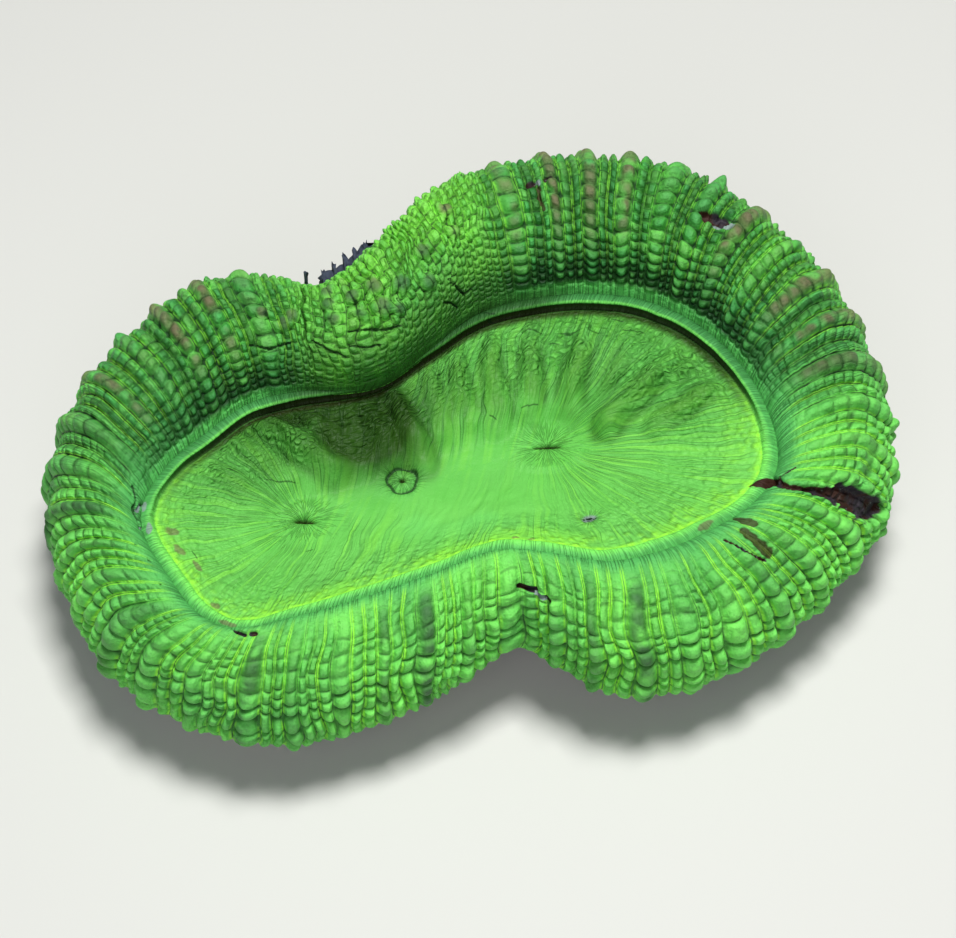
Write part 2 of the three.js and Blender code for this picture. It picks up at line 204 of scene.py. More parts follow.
class CoralForm:
    """The plain form of the coral, without its ridges: every piece takes its places from here."""

    def __init__(self) -> None:
        """Measures the way round the coral, so that ridges can be spaced evenly along it."""
        self.table = np.array(STATIONS, float)
        self.count = len(STATIONS)
        fine = np.linspace(0, self.count, 20 * self.count + 1)
        rows = self._read(fine)
        middle = mixed(rows[:, 0:3], rows[:, 3:6], 0.6)
        steps = np.linalg.norm(np.diff(middle, axis=0), axis=1)
        self._fine = fine
        self._ridge = np.concatenate([[0.0], np.cumsum(steps)]) * RIDGES / steps.sum()

    def _read(self, place: np.ndarray) -> np.ndarray:
        """The stations' values at places between them, on a closed smooth curve."""
        i = np.floor(place).astype(int)
        f = (place - i)[..., None]
        a, b, c, d = (self.table[(i + k) % self.count] for k in (-1, 0, 1, 2))
        return b + 0.5 * f * (c - a + f * (2 * a - 5 * b + 4 * c - d + f * (3 * (b - c) + d - a)))

    def sections(self, ridge: np.ndarray) -> Sections:
        """The sections at places counted in ridges round the coral."""
        place = np.interp(np.asarray(ridge, float) % RIDGES, self._ridge, self._fine)
        rows = self._read(place)
        return Sections(place, rows[..., 0:3], rows[..., 3:6], rows[..., 6], rows[..., 7])

    def mantle_points(self, s: Sections, sweep: np.ndarray) -> np.ndarray:
        """Points of the mantle.

        Args:
            s: Sections, one to each point.
            sweep: 0 in the groove, 1 at the crest, 2 at the outer edge, 3 tucked under it.

        Returns:
            An array of points with the shape of sweep.
        """
        quarter = np.clip(np.floor(sweep), 0, 2).astype(int)
        sine = np.sin((sweep - quarter) * np.pi / 2)
        cosine = np.cos((sweep - quarter) * np.pi / 2)
        groove = s.lip[..., 2] - LIP_RISE
        edge = s.rim[..., 2]
        share = np.choose(quarter, (
            s.crest_share - (s.crest_share - GROOVE_SHARE) * cosine,
            s.crest_share + (1 - s.crest_share) * sine,
            1 - TUCK_SHARE * (1 - cosine),
        ))
        height = np.choose(quarter, (
            mixed(groove, s.crest_height, sine),
            mixed(edge, s.crest_height, cosine),
            edge - RIM_TUCK * sine,
        ))
        points = mixed(s.lip, s.rim, share[..., None])
        points[..., 2] = height
        return points

    def swelling(self, place: np.ndarray, out: np.ndarray) -> np.ndarray:
        """How far the broad swellings lift the mantle at places round it and shares outwards."""
        lift = np.zeros(np.broadcast(place, out).shape)
        for s in SWELLINGS:
            apart = np.abs(place - s.at)
            turn = np.minimum(apart, self.count - apart)
            lift += s.height * np.exp(-((turn / s.round) ** 2) - ((out - s.out) / s.along) ** 2)
        return lift


@dataclass
class Grid:
    """A sheet of places that a grid's vertices are moved to, with what its surface carries."""

    points: np.ndarray
    values: dict[str, np.ndarray]
    uv: np.ndarray


def grid_mesh(name: str, grid: Grid, caps: bool) -> bpy.types.Object:
    """Makes an object from a grid whose vertices are moved to their places and then merged.

    Args:
        name: Name of the object.
        grid: Places as (rings, columns, 3), values as (rings, columns) and, for each face's
            corners in the order low, ahead, ahead and out, out, a pair of numbers.
        caps: Whether the open ends are filled.

    Returns:
        The object, with its place in its mesh, in metres in the row's frame.
    """
    rings, columns = grid.points.shape[:2]
    bm = bmesh.new()
    bmesh.ops.create_grid(bm, x_segments=columns - 1, y_segments=rings - 1, size=1)
    mesh = bpy.data.meshes.new(name)
    bm.to_mesh(mesh)
    bm.free()
    flat = np.zeros(3 * len(mesh.vertices), np.float32)
    mesh.vertices.foreach_get("co", flat)
    spot = flat.reshape(-1, 3)
    column = np.rint((spot[:, 0] + 1) / 2 * (columns - 1)).astype(int)
    ring = np.rint((spot[:, 1] + 1) / 2 * (rings - 1)).astype(int)
    places = (grid.points - np.array([*BODY_CENTRE, 0.0])) * MM
    mesh.vertices.foreach_set("co", places[ring, column].astype(np.float32).ravel())
    for key, values in grid.values.items():
        layer = mesh.attributes.new(key, "FLOAT", "POINT")
        layer.data.foreach_set("value", values[ring, column].astype(np.float32))
    corner = np.zeros(len(mesh.loops), int)
    mesh.loops.foreach_get("vertex_index", corner)
    faces = corner.reshape(-1, 4)
    low_column = column[faces].min(axis=1)[:, None]
    low_ring = ring[faces].min(axis=1)[:, None]
    ahead = column[faces] - low_column
    out = ring[faces] - low_ring
    which = np.where(out == 0, ahead, 3 - ahead)
    pairs = grid.uv[low_ring, low_column, which]
    layer = mesh.uv_layers.new(name="pattern")
    layer.data.foreach_set("uv", pairs.astype(np.float32).ravel())
    bm = bmesh.new()
    bm.from_mesh(mesh)
    bmesh.ops.remove_doubles(bm, verts=bm.verts, dist=2e-6)
    bmesh.ops.dissolve_degenerate(bm, edges=bm.edges, dist=1e-7)
    if caps:
        open_edges = [edge for edge in bm.edges if edge.is_boundary]
        for edge in open_edges:
            edge.smooth = False
        bmesh.ops.holes_fill(bm, edges=open_edges, sides=0)
    bmesh.ops.recalc_face_normals(bm, faces=bm.faces)
    for face in bm.faces:
        face.smooth = True
    bm.to_mesh(mesh)
    bm.free()
    piece = bpy.data.objects.new(name, mesh)
    bpy.context.scene.collection.objects.link(piece)
    return piece


def along_line(
    points: np.ndarray,
    start: tuple[float, float],
    end: tuple[float, float],
) -> tuple[np.ndarray, np.ndarray]:
    """How points lie to a line on the plan.

    Args:
        points: Points with x and y first.
        start: Where the line begins.
        end: Where it ends.

    Returns:
        The share of the way along it, from 0 to 1, and the distance from it.
    """
    a, b = np.array(start), np.array(end)
    from_start = points[..., :2] - a
    t = np.clip(from_start @ (b - a) / ((b - a) @ (b - a)), 0, 1)
    return t, np.linalg.norm(from_start - t[..., None] * (b - a), axis=-1)


def blob(
    points: np.ndarray,
    middle: tuple[float, float],
    half: tuple[float, float],
    power: int = 2,
) -> np.ndarray:
    """A soft spot on the plan: 1 in its middle and fading past its half length and half width."""
    x, y = points[..., 0] - middle[0], points[..., 1] - middle[1]
    return np.exp(-((x / half[0]) ** power) - (y / half[1]) ** power)


def corner_pairs(here: np.ndarray, ahead: np.ndarray, low: np.ndarray, up: np.ndarray) -> np.ndarray:
    """Pairs of pattern numbers for the four corners of each face of a grid.

    Args:
        here: First number at each column, in the face that begins there.
        ahead: First number at the next column, in the same face.
        low: Second number at each ring and column.
        up: Second number at each ring and the next column.

    Returns:
        An array of (rings less one, columns, 4, 2).
    """
    uv = np.empty((low.shape[0] - 1, len(here), 4, 2))
    uv[:, :, 0, 0] = uv[:, :, 3, 0] = here
    uv[:, :, 1, 0] = uv[:, :, 2, 0] = ahead
    uv[:, :, 0, 1], uv[:, :, 1, 1] = low[:-1], up[:-1]
    uv[:, :, 2, 1], uv[:, :, 3, 1] = up[1:], low[1:]
    return uv


def outward_normals(points: np.ndarray) -> np.ndarray:
    """Unit normals of a closed band of points, given as (rings, columns, 3)."""
    ahead = np.roll(points, -1, axis=1) - np.roll(points, 1, axis=1)
    out = np.gradient(points, axis=0)
    normal = np.cross(out, ahead)
    return normal / np.maximum(np.linalg.norm(normal, axis=-1, keepdims=True), 1e-9)


class Damage(Enum):
    """What a damaged or marked spot of the flesh shows."""

    TEAR = "torn"
    BARE = "bare"
    STAIN = "stain"
    CRACK = "crack"


@dataclass(frozen=True)
class Spot:
    """A spot of damage along a path of (ridge, share outwards, half width in millimetres)."""

    kind: Damage
    depth: float
    path: tuple[tuple[float, float, float], ...]


SPOTS = (
    Spot(Damage.TEAR, 1.2, ((46.6, 0.02, 1.4), (46.4, 0.1, 1.1), (46.1, 0.19, 0.55), (46.05, 0.29, 0.5))),
    Spot(Damage.TEAR, 1.7, ((46.05, 0.29, 0.5), (46.05, 0.4, 1.0), (46.12, 0.5, 2.0), (46.15, 0.6, 2.9))),
    Spot(Damage.TEAR, 1.8, ((46.15, 0.6, 2.9), (46.22, 0.7, 3.1), (46.35, 0.79, 2.4), (46.5, 0.85, 1.2))),
    Spot(Damage.TEAR, 0.5, ((46.6, 0.08, 0.2), (46.7, 0.117, 0.2), (46.85, 0.171, 0.2))),
    Spot(Damage.STAIN, 0.4, ((44.5, 0.03, 0.4), (44.45, 0.09, 0.6), (44.45, 0.15, 0.7), (44.45, 0.2, 0.7))),
    Spot(Damage.STAIN, 0.5, (
        (44.05, 0.19, 0.7), (44.0, 0.26, 0.9), (43.95, 0.34, 1.1), (43.95, 0.41, 0.9),
    )),
    Spot(Damage.TEAR, 0.6, (
        (43.45, 0.03, 0.2), (43.42, 0.19, 0.22), (43.55, 0.31, 0.3), (43.75, 0.425, 0.25),
    )),
    Spot(Damage.TEAR, 1.5, ((10.98, 0.425, 0.6), (10.85, 0.43, 0.5))),
    Spot(Damage.TEAR, 1.5, ((10.6, 0.432, 0.5), (10.42, 0.436, 0.5))),
    Spot(Damage.BARE, 0.5, ((10.78, 0.428, 0.5), (10.74, 0.42, 0.45))),
    Spot(Damage.STAIN, 0.8, ((10.78, 0.41, 0.35), (10.8, 0.37, 0.4), (10.75, 0.33, 0.25))),
    Spot(Damage.TEAR, 1.6, ((6.55, 0.395, 0.5), (6.35, 0.4, 1.1), (6.1, 0.407, 1.25), (5.9, 0.415, 1.1))),
    Spot(Damage.BARE, 0.8, ((6.12, 0.386, 0.45), (6.0, 0.388, 0.6))),
    Spot(Damage.BARE, 0.4, ((5.78, 0.41, 0.7), (5.72, 0.425, 0.6))),
    Spot(Damage.TEAR, 1.3, ((37.8, 0.44, 0.55), (38.1, 0.455, 0.6))),
    Spot(Damage.TEAR, 1.0, ((38.25, 0.467, 0.3), (38.5, 0.475, 0.4))),
    Spot(Damage.BARE, 0.3, ((38.15, 0.475, 0.3), (38.35, 0.485, 0.35))),
    Spot(Damage.TEAR, 1.0, ((30.5, 0.11, 0.35), (30.75, 0.15, 0.4), (31.05, 0.185, 0.4))),
    Spot(Damage.TEAR, 0.9, ((31.25, 0.18, 0.5), (31.3, 0.18, 0.5))),
    Spot(Damage.BARE, 0.4, ((24.3, 0.05, 0.5), (24.55, 0.06, 0.45))),
    Spot(Damage.BARE, 0.3, ((25.2, 0.03, 0.5), (25.35, 0.07, 0.4))),
    Spot(Damage.CRACK, 0.6, ((24.0, 0.12, 0.3), (24.3, 0.08, 0.35), (24.8, 0.1, 0.3), (25.2, 0.06, 0.3))),
    Spot(Damage.CRACK, 0.6, ((24.2, 0.02, 0.3), (24.35, 0.13, 0.25))),
    Spot(Damage.CRACK, 0.6, ((24.75, 0.02, 0.3), (24.7, 0.1, 0.3))),
    Spot(Damage.CRACK, 0.5, ((26.2, 0.03, 0.25), (26.3, 0.17, 0.2))),
    Spot(Damage.CRACK, 0.5, ((26.9, 0.02, 0.25), (26.8, 0.14, 0.2))),
    Spot(Damage.CRACK, 0.5, ((27.6, 0.02, 0.25), (27.75, 0.16, 0.2))),
    Spot(Damage.CRACK, 0.9, (
        (16.45, 0.31, 0.19), (16.15, 0.3, 0.28), (15.85, 0.272, 0.3), (15.5, 0.25, 0.22),
    )),
    Spot(Damage.CRACK, 0.7, ((16.5, 0.262, 0.19), (16.2, 0.24, 0.22), (16.0, 0.233, 0.17))),
    Spot(Damage.CRACK, 0.8, ((15.35, 0.33, 0.17), (15.3, 0.28, 0.25), (15.32, 0.24, 0.17))),
    Spot(Damage.CRACK, 0.8, (
        (13.8, 0.25, 0.19), (13.5, 0.19, 0.28), (13.3, 0.15, 0.25), (13.0, 0.15, 0.17),
    )),
    Spot(Damage.CRACK, 0.7, ((14.1, 0.19, 0.17), (13.8, 0.16, 0.22), (13.6, 0.12, 0.17))),
    Spot(Damage.CRACK, 0.8, ((19.0, 0.25, 0.22), (18.5, 0.23, 0.28), (17.9, 0.25, 0.22))),
    Spot(Damage.CRACK, 0.7, ((17.3, 0.27, 0.19), (16.9, 0.242, 0.25), (16.6, 0.22, 0.17))),
)


# Swollen dark beads on the fold and beside it, as ridge, share outwards and radius in millimetres.
NODULES = (
    (16.7, 0.48, 1.5),
    (16.72, 0.42, 1.6),
    (16.68, 0.36, 1.6),
    (16.2, 0.425, 1.5),
    (16.15, 0.36, 1.4),
    (15.7, 0.41, 1.8),
    (15.72, 0.34, 2.1),
    (15.1, 0.355, 1.9),
    (14.45, 0.3, 1.8),
    (14.3, 0.385, 1.6),
    (13.25, 0.43, 1.6),
    (13.25, 0.36, 1.5),
    (17.7, 0.35, 1.6),
    (17.95, 0.32, 1.5),
    (18.4, 0.36, 1.4),
    (15.4, 0.3, 1.4),
)


@dataclass
class Mantle:
    """The inflated mantle with its rows of beads, in quarters that meet in valleys between rows."""

    columns_per_ridge: int = 24
    visible_rings: int = 204
    under_rings: int = 12
    section_steps: int = 97
    count_steps: int = 400
    heights_kept: int = 96
    bead_small: float = 1.3
    bead_large: float = 2.9
    narrow_rows: tuple[float, float] = (5.2, 7.4)
    tinted: tuple[int, ...] = (1, 2, 3, 5, 8, 9, 10, 19, 20, 22, 25, 31, 35, 40)
    pebbled: tuple[int, int] = (12, 17)
    pebble_rows: int = 5
    pebble_size: float = 0.74
    hidden_rings: tuple[tuple[float, float], ...] = ((0.35, 3.0), (0.75, 5.0))
    quarters: tuple[tuple[str, float, float], ...] = (
        ("mantle_larger_far", 4.0, 17.0),
        ("mantle_smaller_far", 17.0, 28.0),
        ("mantle_smaller_near", 28.0, 38.0),
        ("mantle_larger_near", 38.0, 52.0),
    )

    def build(self, form: CoralForm) -> list[bpy.types.Object]:
        """Builds the four quarters.

        Args:
            form: The coral's plain form.

        Returns:
            Their objects.
        """
        columns = self.columns_per_ridge * RIDGES
        column = np.arange(columns)
        out = np.concatenate([
            np.linspace(0, 1, self.visible_rings + 1),
            1 + UNDER_REACH * np.linspace(0, 1, self.under_rings + 1)[1:],
        ])
        self._form = form
        self._lay_rows()
        whole = self._surface(column, column / self.columns_per_ridge, out)
        pieces = []
        for name, first, last in self.quarters:
            low, high = self._row_start(first), self._row_start(last)
            part = np.arange(low, high + 1) % columns
            grid = Grid(
                whole.points[:, part],
                {key: values[:, part] for key, values in whole.values.items()},
                whole.uv[:, part[:-1]],
            )
            pieces.append(grid_mesh(name, grid, caps=True))
        return pieces

    def _lay_rows(self) -> None:
        """Sets out the rows: to each ridge one bold row and one to three narrow ones.

        Where the mantle folds over in the far notch the rows are even and staggered, as pebbles.
        """
        draw = np.random.default_rng(11)
        per = self.columns_per_ridge
        first = per * np.arange(RIDGES + 1) + 7 + draw.integers(-1, 2, RIDGES + 1)
        first[-1] = first[0] + per * RIDGES
        last = first[:-1] + draw.integers(9, 13, RIDGES)
        starts, bold, pebbled = [], [], []
        for k in range(RIDGES):
            if self.pebbled[0] <= k <= self.pebbled[1]:
                lows = np.linspace(first[k], first[k + 1], self.pebble_rows + 1)[:-1]
                starts += [int(low) for low in lows]
                bold += [1.0] + [0.0] * (self.pebble_rows - 1)
                pebbled += [1.0] * self.pebble_rows
                continue
            starts += [first[k], last[k]]
            bold += [1.0, 0.0]
            parts = max(1, round((first[k + 1] - last[k]) / draw.uniform(*self.narrow_rows)))
            inner = np.linspace(last[k], first[k + 1], parts + 1)[1:-1]
            starts += [int(round(low)) for low in inner]
            bold += [0.0] * len(inner)
            pebbled += [0.0] * (len(bold) - len(pebbled))
        self._starts = np.array(starts + [first[-1]])
        self._bold = np.array(bold)
        self._pebbled = np.array(pebbled)
        rows = len(bold)
        staggered = 0.5 * np.arange(rows) + draw.uniform(-0.1, 0.1, rows)
        self._row_offset = np.where(self._pebbled > 0, staggered, draw.uniform(0, 1, rows))
        size = draw.uniform(0.84, 1.16, rows) * np.where(self._bold > 0, 1.1, 0.9)
        self._row_size = np.where(self._pebbled > 0, self.pebble_size, size)
        self._row_height = draw.uniform(0.7, 1.3, rows)
        self._row_tint = np.where(self._bold > 0, draw.choice([0.15, 0.35, 0.7], rows), 0.08)
        bold_rows = np.flatnonzero(self._bold)
        self._row_tint[bold_rows[list(self.tinted)]] = 1.0
        self._bead_height = draw.uniform(0, 1, (rows, self.heights_kept))
        self._bead_tilt = draw.uniform(-0.3, 0.3, rows) * (1 - self._pebbled)

    def _row_start(self, ridge: float) -> int:
        """The first column of the bold row nearest to a ridge."""
        bold_starts = self._starts[:-1][self._bold > 0]
        turn, rest = divmod(ridge * self.columns_per_ridge, self.columns_per_ridge * RIDGES)
        nearest = bold_starts[np.argmin(np.abs(bold_starts - rest))]
        return int(nearest + turn * self.columns_per_ridge * RIDGES)

    def _row_of(self, column: np.ndarray) -> tuple[np.ndarray, np.ndarray, np.ndarray]:
        """The row of beads at each column, its first column and how many columns it has."""
        whole = self.columns_per_ridge * RIDGES
        wrapped = np.where(column < self._starts[0], column + whole, column)
        row = np.searchsorted(self._starts, wrapped, side="right") - 1
        start = self._starts[row]
        return row, start - (wrapped - column), self._starts[row + 1] - start

    def _bead_count(self, out: np.ndarray) -> np.ndarray:
        """Beads passed per millimetre of section between the groove and a share outwards."""
        fine = np.linspace(0, 1 + UNDER_REACH, self.count_steps)
        size = mixed(self.bead_small, self.bead_large, smooth(0.0, 0.5, fine))
        steps = np.diff(fine) * 0.5 * (1 / size[1:] + 1 / size[:-1])
        return np.interp(out, fine, np.concatenate([[0.0], np.cumsum(steps)]))

    def _surface(self, column: np.ndarray, ridge: np.ndarray, out: np.ndarray) -> Grid:
        """The whole mantle as one closed band, with its beads and what it carries."""
        form = self._form
        fine = np.linspace(0, 2, self.section_steps)
        arcs = form.mantle_points(form.sections(ridge), np.repeat(fine[:, None], len(ridge), axis=1))
        steps = np.linalg.norm(np.diff(arcs, axis=0), axis=-1)
        lengths = np.vstack([np.zeros(len(ridge)), np.cumsum(steps, axis=0)])
        whole = lengths[-1]
        inner = out[out <= 1]
        sweep = np.empty((len(out), len(ridge)))
        for c in range(len(ridge)):
            sweep[: len(inner), c] = np.interp(inner * whole[c], lengths[:, c], fine)
        sweep[len(inner):] = (2 + (out[out > 1] - 1) / UNDER_REACH)[:, None]

        shares, around = out[:, None], ridge[None, :]
        cobbled = np.exp(-(((around - 15.2) / 3.6) ** 4))
        wander = SmoothNoise(21, RIDGES)
        reach = mixed(0.12, 0.18, cobbled) * smooth(0.1, 0.4, shares)
        shifted = around + reach * wander.round(around, shares * 4)
        shifted = shifted + 0.09 * cobbled * SmoothNoise(22, 3 * RIDGES, 64).round(around, shares * 18)
        s = form.sections(shifted)
        points = form.mantle_points(s, sweep)
        points += outward_normals(points) * form.swelling(s.place, shares)[..., None]
        normals = outward_normals(points)

        row, start, width = self._row_of(column)
        across = (column - start) / width
        middle = np.rint(start + width / 2).astype(int) % len(ridge)
        row_length = whole[middle]
        count = self._bead_count(out)
        jitter = SmoothNoise(31, RIDGES)

        def phase_at(rows: np.ndarray, length: np.ndarray, share: np.ndarray, w: np.ndarray) -> np.ndarray:
            """Beads counted outwards along the rows."""
            wobble = 0.42 * jitter.round(w[None, :], shares * 9)
            tilt = self._bead_tilt[rows] * (share - 0.5) - 0.08 * (2 * share - 1) ** 2
            steady = self._row_offset[rows] + tilt
            return count[:, None] * (length / self._row_size[rows])[None, :] + steady[None, :] + wobble

        phase = phase_at(row, row_length, across, ridge)
        relief, high = self._relief(row, across, phase, shares, s.farness, around, cobbled)
        spots = {kind: np.zeros(points.shape[:2]) for kind in Damage}
        for spot in SPOTS:
            mask = self._spot_mask(spot, points)
            spots[spot.kind] = np.maximum(spots[spot.kind], mask)
            relief = relief * (1 - 0.8 * mask) - spot.depth * mask
        nodules = self._nodules(points)
        relief = mixed(relief, 1.5, 0.9 * nodules)
        points = points + normals * relief[..., None]

        points, out_full = self._closed(points, out)
        extra = len(points) - len(out)

        def pad(field: np.ndarray) -> np.ndarray:
            """A field with its last ring repeated for the rings that close the band."""
            return np.vstack([field, np.repeat(field[-1:], extra, axis=0)])

        values = {
            "out": np.repeat(out_full[:, None], len(ridge), axis=1),
            "far": pad(s.farness),
            "high": pad(high),
            "bold": np.repeat(self._bold[row][None, :], len(out_full), axis=0),
            "tint": np.repeat(self._row_tint[row][None, :], len(out_full), axis=0),
            "ridge": np.repeat(around, len(out_full), axis=0),
            "nodule": pad(nodules),
            **{kind.value: pad(mask) for kind, mask in spots.items()},
        }
        here = (column - start) / width
        ahead = (column + 1 - start) / width
        low = pad(phase_at(row, row_length, here, ridge))
        up = pad(phase_at(row, row_length, ahead, ridge + 1 / self.columns_per_ridge))
        return Grid(points, values, corner_pairs(row + here, row + ahead, low, up))

    def _relief(
        self,
        row: np.ndarray,
        across: np.ndarray,
        phase: np.ndarray,
        out: np.ndarray,
        far: np.ndarray,
        ridge: np.ndarray,
        cobbled: np.ndarray,
    ) -> tuple[np.ndarray, np.ndarray]:
        """How far the rows and their beads stand out, in millimetres, and the same from 0 to 1."""
        bold = self._bold[row]
        bead = np.floor(phase).astype(int)
        along = phase - bead
        height = self._bead_height[row[None, :], bead % self.heights_kept]
        crown = np.clip(1 - (np.abs(2 * across - 1) / 0.88) ** 2.2, 0, 1)[None, :]
        pillow = 1 - np.abs(2 * along - 1) ** 2.2
        pearl = 1 - (np.abs(2 * across - 1) / 0.95)[None, :] ** 2.4 - 0.85 * np.abs(2 * along - 1) ** 2.4
        pearl = np.clip(pearl, 0, 1) ** 0.6
        fade = 1 - smooth(1.05, 1.25, out)
        foot = mixed(smooth(0.03, 0.14, out), smooth(0.16, 0.3, out), cobbled)
        grown = mixed(smooth(0.1, 0.4, out), foot, far) * fade
        ends = 4 * far * (1 - far)
        row_height = mixed(0.75 - 0.15 * ends, 1.15 + 0.15 * ends, bold) * self._row_height[row]
        row_height = row_height * mixed(1.0, 0.5, cobbled)
        bead_height = mixed(0.22 + 0.75 * smooth(0.3, 0.75, out), 0.5 + 0.45 * smooth(0.1, 0.4, out), far)
        lumps = SmoothNoise(61, 6 * RIDGES, 64).round(ridge, out * 34)
        swing = -(0.4 + 0.45 * ends) * np.cos(2 * np.pi * ridge) * (1 - 0.7 * cobbled)
        rowed = row_height * (crown - 0.5) + bead_height * (0.35 + 0.65 * crown) * (pillow - 0.5)
        beaded = (0.6 * row_height + 1.1 * bead_height) * (pearl - 0.55)
        low_down = 1 - smooth(0.18, 0.34, out)
        apart = np.maximum(0.45 + 0.4 * low_down, 0.75 * cobbled) * far
        apart = np.maximum(apart, 0.7 * smooth(0.5, 0.8, out))
        local = mixed(rowed, beaded, apart)
        local = local + 0.8 * (height - 0.5) * crown * pillow * mixed(smooth(0.3, 0.7, out), 1.0, far)
        softer = smooth(11.0, 13.0, ridge) * (1 - smooth(24.5, 27.0, ridge)) * smooth(0.45, 0.75, out)
        local = local * (1 - 0.5 * softer) + 0.18 * lumps
        wrinkle = np.abs(SmoothNoise(62, 2 * RIDGES, 64).round(ridge, out * 46))
        spike = np.exp(-(((along - 0.5) / 0.26) ** 2) - ((across[None, :] - 0.5) / 0.28) ** 2)
        tall = smooth(0.8, 0.97, height) * smooth(0.42, 0.6, out) * mixed(0.3, 1.0, bold)
        peaked = np.clip(1 - np.abs(ridge - 6.5) / 5.5, 0, 1)
        local = local + tall * spike * far * mixed(0.25, 1.2, peaked) * (1 - cobbled)
        high = np.clip(0.5 + 0.5 * grown * local, 0, 1)
        creases = 0.35 * wrinkle * cobbled * (1 - grown) * smooth(0.0, 0.06, out)
        return grown * (local + swing) - creases, high

    def _spot_mask(self, spot: Spot, points: np.ndarray) -> np.ndarray:
        """Where a spot of damage lies on the mantle, from 0 to 1."""
        path = np.array(spot.path)
        places = self._on_mantle(path[:, 0], path[:, 1])
        ragged = SmoothNoise(41, 256)
        rough = 0.3 * ragged.at(points[..., 0] * 1.1, points[..., 1] * 1.1)
        mask = np.zeros(points.shape[:2])
        for k in range(max(len(path) - 1, 1)):
            a, b = places[k], places[min(k + 1, len(path) - 1)]
            t = np.clip(((points - a) @ (b - a)) / max((b - a) @ (b - a), 1e-9), 0, 1)
            away = np.linalg.norm(points - (a + t[..., None] * (b - a)), axis=-1)
            reach = mixed(path[k, 2], path[min(k + 1, len(path) - 1), 2], t)
            mask = np.maximum(mask, 1 - smooth(0.75, 1.1, away / reach + rough))
        return mask

    def _nodules(self, points: np.ndarray) -> np.ndarray:
        """Where the swollen dark beads lie, from 0 to 1 at their tops."""
        table = np.array(NODULES)
        mask = np.zeros(points.shape[:2])
        for place, radius in zip(self._on_mantle(table[:, 0], table[:, 1]), table[:, 2]):
            away = np.linalg.norm(points - place, axis=-1) / radius
            mask = np.maximum(mask, np.clip(1 - away**2, 0, 1) ** 0.8)
        return mask

    def _on_mantle(self, ridge: np.ndarray, out: np.ndarray) -> np.ndarray:
        """Points of the swollen plain mantle at ridges and shares outwards."""
        form = self._form
        span = 0.02
        around = ridge[None, :] + span * np.arange(-1, 2)[:, None]
        s = form.sections(around.T[None])
        fine = np.linspace(0, 2, self.section_steps)
        sweep = np.broadcast_to(fine[:, None, None], (self.section_steps, len(ridge), 3))
        arcs = form.mantle_points(s, sweep)
        places = []
        for k, share in enumerate(out):
            band = arcs[:, k]
            steps = np.linalg.norm(np.diff(band[:, 1], axis=0), axis=-1)
            length = np.concatenate([[0.0], np.cumsum(steps)])
            lift = form.swelling(s.place[0, k], length[:, None] / length[-1])
            tangent = np.gradient(band[:, 1], axis=0)
            normal = np.cross(tangent, band[:, 2] - band[:, 0])
            normal /= np.linalg.norm(normal, axis=-1, keepdims=True)
            line = band[:, 1] + normal * lift[:, 1:2]
            places.append([np.interp(share * length[-1], length, line[:, axis]) for axis in range(3)])
        return np.array(places)

    def _closed(self, points: np.ndarray, out: np.ndarray) -> tuple[np.ndarray, np.ndarray]:
        """Adds the hidden rings that lead from the tucked edge back to the groove, inside."""
        first, last = points[0], points[-1]
        hidden = []
        for share, drop in self.hidden_rings:
            ring = mixed(last, first, share)
            ring[:, 2] -= drop
            hidden.append(ring)
        hidden.append(first)
        return np.concatenate([points, np.array(hidden)]), np.concatenate([out, np.full(3, out[-1])])


class Opening(Enum):
    """How a mouth of the disc looks."""

    SLIT = "slit"
    RINGED = "ringed"
    SCARRED = "scarred"


@dataclass(frozen=True)
class Mouth:
    """A mouth of the disc: its place, the halves of its length and width, its turn and depth.

    Its rays are as many lines round it, reaching as many millimetres from its middle.
    """

    kind: Opening
    x: float
    y: float
    length: float
    width: float
    turn: float
    depth: float
    lines: float
    reach: float


MOUTHS = (
    Mouth(Opening.SLIT, 13.0, 3.9, 2.6, 0.32, -0.12, 1.4, 60.0, 9.0),
    Mouth(Opening.SLIT, -31.2, -4.2, 1.9, 0.4, -0.22, 1.6, 44.0, 10.0),
    Mouth(Opening.RINGED, -13.2, 1.4, 2.6, 2.5, 0.1, 1.4, 40.0, 6.0),
    Mouth(Opening.SCARRED, 16.8, -14.6, 1.5, 0.9, 0.2, 0.6, 26.0, 5.0),
)


@dataclass(frozen=True)
class Fold:
    """A rounded fold of the disc from its outer end to its nose, with its half width and height.

    The nose is the share of the height that is left at the inner end.
    """

    x0: float
    y0: float
    x1: float
    y1: float
    width: float
    height: float
    nose: float = 0.35


@dataclass(frozen=True)
class Mark:
    """A marked spot of the disc or its flange: its place and the halves of its length and width."""

    kind: Damage
    x: float
    y: float
    length: float
    width: float
    turn: float


